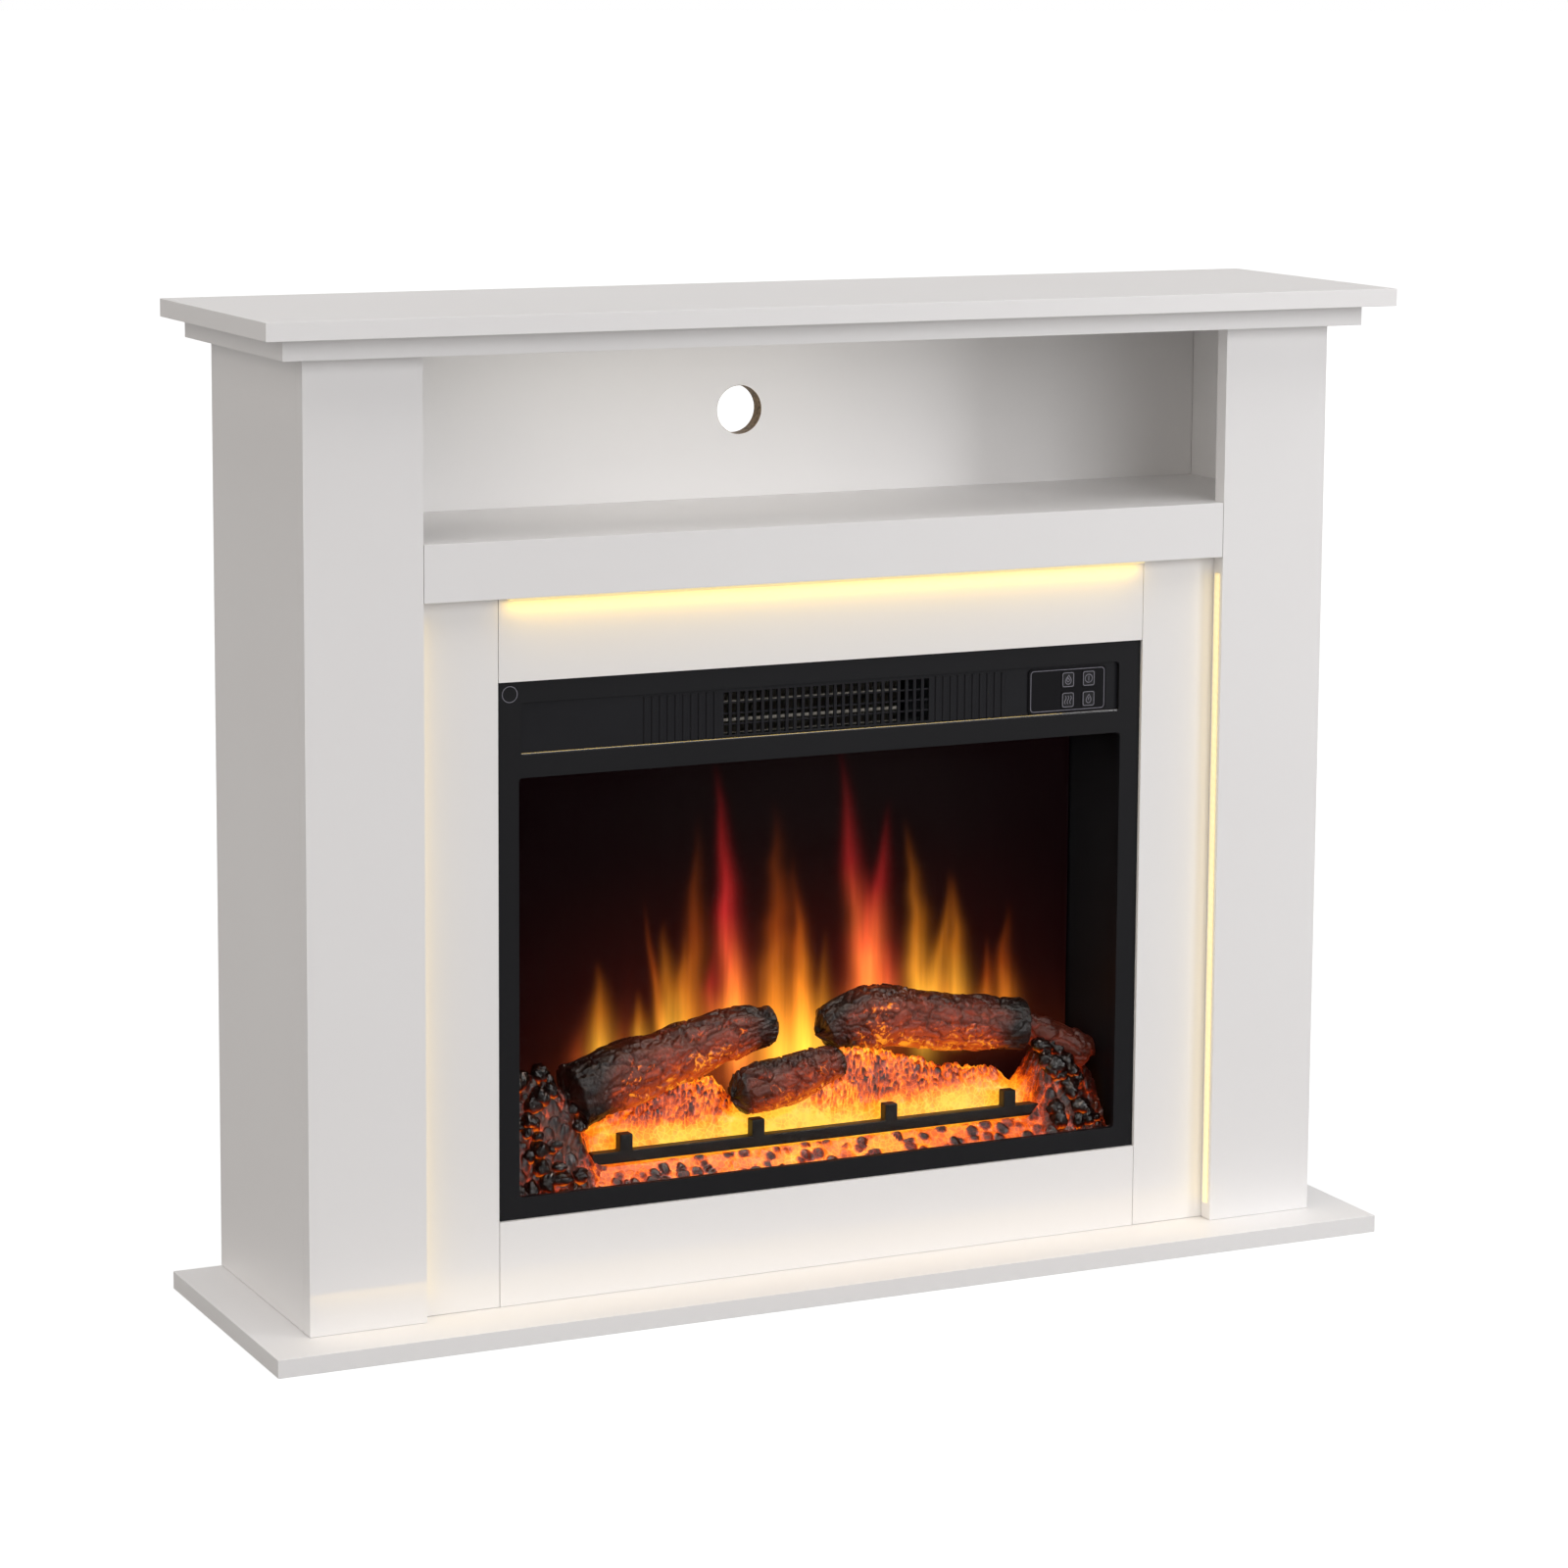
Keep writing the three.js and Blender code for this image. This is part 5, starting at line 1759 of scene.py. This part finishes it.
class FIREPLACE_OT_ember_bed(bpy.types.Operator):
    """Casts the glowing ember bed with its mounds and pebbles"""

    bl_idname = "fireplace.ember_bed"
    bl_label = "Ember bed"

    def execute(self, context):
        x, y, height, glow, crust, rows, columns = bed_shape()
        points = [fire(*place) for place in zip(x, y, height)]
        faces = sheet_faces(rows, columns)
        bed = add_piece("ember_bed_cast", points, faces, "ember_resin", glow=glow, crust=crust)
        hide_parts("ember_bed")
        return {"FINISHED"}


class FIREPLACE_OT_logs(bpy.types.Operator):
    """Moulds the three logs with their bark"""

    bl_idname = "fireplace.logs"
    bl_label = "Logs"

    def execute(self, context):
        for seed, (name, (node, stations)) in enumerate(LOGS.items()):
            skin = log_skin(stations, 60 + seed)
            points, length, total, angle, plate, chip, swell, number, around, along = skin
            below = ease(0.2, -0.9, np.sin(angle))
            # At their ends the long logs are charred far in, the short middle one only at its rims. The
            # same mask also goes darker along the top of every log.
            short = name == "middle_log_bark"
            tip = ease(16, 4, length) if short else ease(62, 12, length)
            tail = ease(16, 4, total - length) if short else ease(58, 14, total - length)
            char = np.clip(tip + tail + 0.75 * ease(0.45, 1.0, np.sin(angle)) + 0.45 * swell - 0.05, 0, 1)
            # Painted light: the glow stands in for the embers' light on the logs, brightest underneath, at
            # mid-length and in the chips. It is dimmed as painted shade in the cracks between plates.
            middle = np.sin(math.pi * length / total)
            glow = 0.30 + 0.30 * below + 0.22 * middle * ease(0.6, -0.3, np.sin(angle)) + 0.12 * swell
            glow += 0.24 * (1 - chip) - 0.24 * (1 - plate)
            glow = glow * (1 - 0.92 * char) + 0.5 * (1 - chip) * (1 - char) * ease(0.4, 0.7, number)
            faces = sheet_faces(along, around, closed=True)
            faces.append(tuple(range(around))[::-1])
            faces.append(tuple((along - 1) * around + step for step in range(around)))
            placed = [fire(*point) for point in points]
            piece = add_piece(name, placed, faces, "log_resin", glow=np.clip(glow, 0, 1), crust=char)
            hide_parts(node)
        skin = log_skin(BRANCH, 80, 96, 90)
        points, _, _, angle, plate, _, swell, _, around, along = skin
        # The mask goes darker along the top of the branch.
        char = np.clip(0.3 + 0.4 * ease(0.2, 1.0, np.sin(angle)) + 0.3 * swell, 0, 1)
        # Painted light: the branch's glow stands in for the embers' light, brighter underneath and in the
        # cracks between plates.
        glow = (0.34 + 0.2 * (1 - plate) + 0.2 * ease(0.2, -0.9, np.sin(angle))) * (1 - 0.8 * char)
        faces = sheet_faces(along, around, closed=True)
        placed = [fire(*point) for point in points]
        add_piece("right_branch_bark", placed, faces, "log_resin", glow=np.clip(glow, 0, 1), crust=char)
        return {"FINISHED"}


class FIREPLACE_OT_coals(bpy.types.Operator):
    """Heaps broken coals in the two front corners"""

    bl_idname = "fireplace.coals"
    bl_label = "Coals"

    def execute(self, context):
        chance = np.random.default_rng(context.scene.fireplace_sizes.seed)
        x, y, height, _, _, rows, columns = bed_shape()
        grid = height.reshape(rows, columns)
        across = x.reshape(rows, columns)[0]
        back = y.reshape(rows, columns)[:, 0]
        for name, span, count in (("left_coals", (-328, -246), 44), ("right_coals", (274, 330), 34)):
            points = []
            faces = []
            glow = []
            for number in range(count):
                place_x = chance.uniform(*span)
                place_y = chance.uniform(18, 74)
                radius = chance.uniform(5.5, 11.0)
                column = int(np.clip(np.searchsorted(across, place_x), 0, columns - 1))
                row = int(np.clip(np.searchsorted(back, place_y), 0, rows - 1))
                centre = np.array((place_x, place_y, grid[row, column] + radius * 0.15))
                stretch = chance.uniform(0.7, 1.25, 3)
                shape = bmesh.new()
                bmesh.ops.create_icosphere(shape, subdivisions=3, radius=1.0)
                ball = np.array([vert.co for vert in shape.verts])
                start = len(points)
                faces += [tuple(start + vert.index for vert in face.verts) for face in shape.faces]
                shape.free()
                near, far, _ = lump_noise(ball * 1.3 + number * 7, 21)
                swell = rough_noise(ball * 1.6 + number * 5, 31)
                reach = radius * (0.86 + 0.2 * swell + 0.16 * ease(0, 0.4, far - near))
                placed = centre + ball * stretch * reach[:, None]
                points += [fire(*point) for point in placed]
                # Painted light: the coals glow on their undersides and along their cracks, where the
                # embers' light falls.
                painted_glow = ease(0.1, -0.9, ball[:, 2]) * 0.9 + 0.1 * (1 - ease(0, 0.3, far - near))
                glow += list(np.clip(painted_glow, 0, 1))
            add_piece(name, points, faces, "coal_resin", glow=glow)
        return {"FINISHED"}


class FIREPLACE_OT_grate(bpy.types.Operator):
    """Blackens the grate bar in front of the embers"""

    bl_idname = "fireplace.grate"
    bl_label = "Grate bar"

    def execute(self, context):
        dress(("grate_bar",), 0.0012)
        return {"FINISHED"}


class FIREPLACE_OT_works(bpy.types.Operator):
    """Finishes the casing, the boards, the motors and the fixings behind the front"""

    bl_idname = "fireplace.works"
    bl_label = "Casing and works"

    def execute(self, context):
        dress(WORKS)
        return {"FINISHED"}


class FIREPLACE_PT_panel(bpy.types.Panel):
    """Sidebar panel that lists the steps"""

    bl_idname = "FIREPLACE_PT_panel"
    bl_label = "Electric Fireplace"
    bl_space_type = "VIEW_3D"
    bl_region_type = "UI"
    bl_category = "Fireplace"

    def draw(self, context):
        column = self.layout.column()
        for operator in OPERATORS:
            column.operator(operator.bl_idname)
        for group in (context.scene.fireplace_sizes, context.scene.fireplace_colours):
            for name in group.__annotations__:
                column.prop(group, name)


OPERATORS = (
    FIREPLACE_OT_boards,
    FIREPLACE_OT_light_strips,
    FIREPLACE_OT_insert_front,
    FIREPLACE_OT_controls,
    FIREPLACE_OT_heater,
    FIREPLACE_OT_flames,
    FIREPLACE_OT_ember_bed,
    FIREPLACE_OT_logs,
    FIREPLACE_OT_coals,
    FIREPLACE_OT_grate,
    FIREPLACE_OT_works,
    FIREPLACE_OT_stage,
)
CLASSES = (FireplaceColours, FireplaceSizes, *OPERATORS, FIREPLACE_PT_panel)


def register():
    for kind in CLASSES:
        bpy.utils.register_class(kind)
    bpy.types.Scene.fireplace_colours = PointerProperty(type=FireplaceColours)
    bpy.types.Scene.fireplace_sizes = PointerProperty(type=FireplaceSizes)


def unregister():
    del bpy.types.Scene.fireplace_sizes
    del bpy.types.Scene.fireplace_colours
    for kind in reversed(CLASSES):
        bpy.utils.unregister_class(kind)


def main():
    """Builds every piece in order."""
    register()
    for operator in OPERATORS:
        group, action = operator.bl_idname.split(".")
        getattr(getattr(bpy.ops, group), action)()


if __name__ == "__main__":
    main()
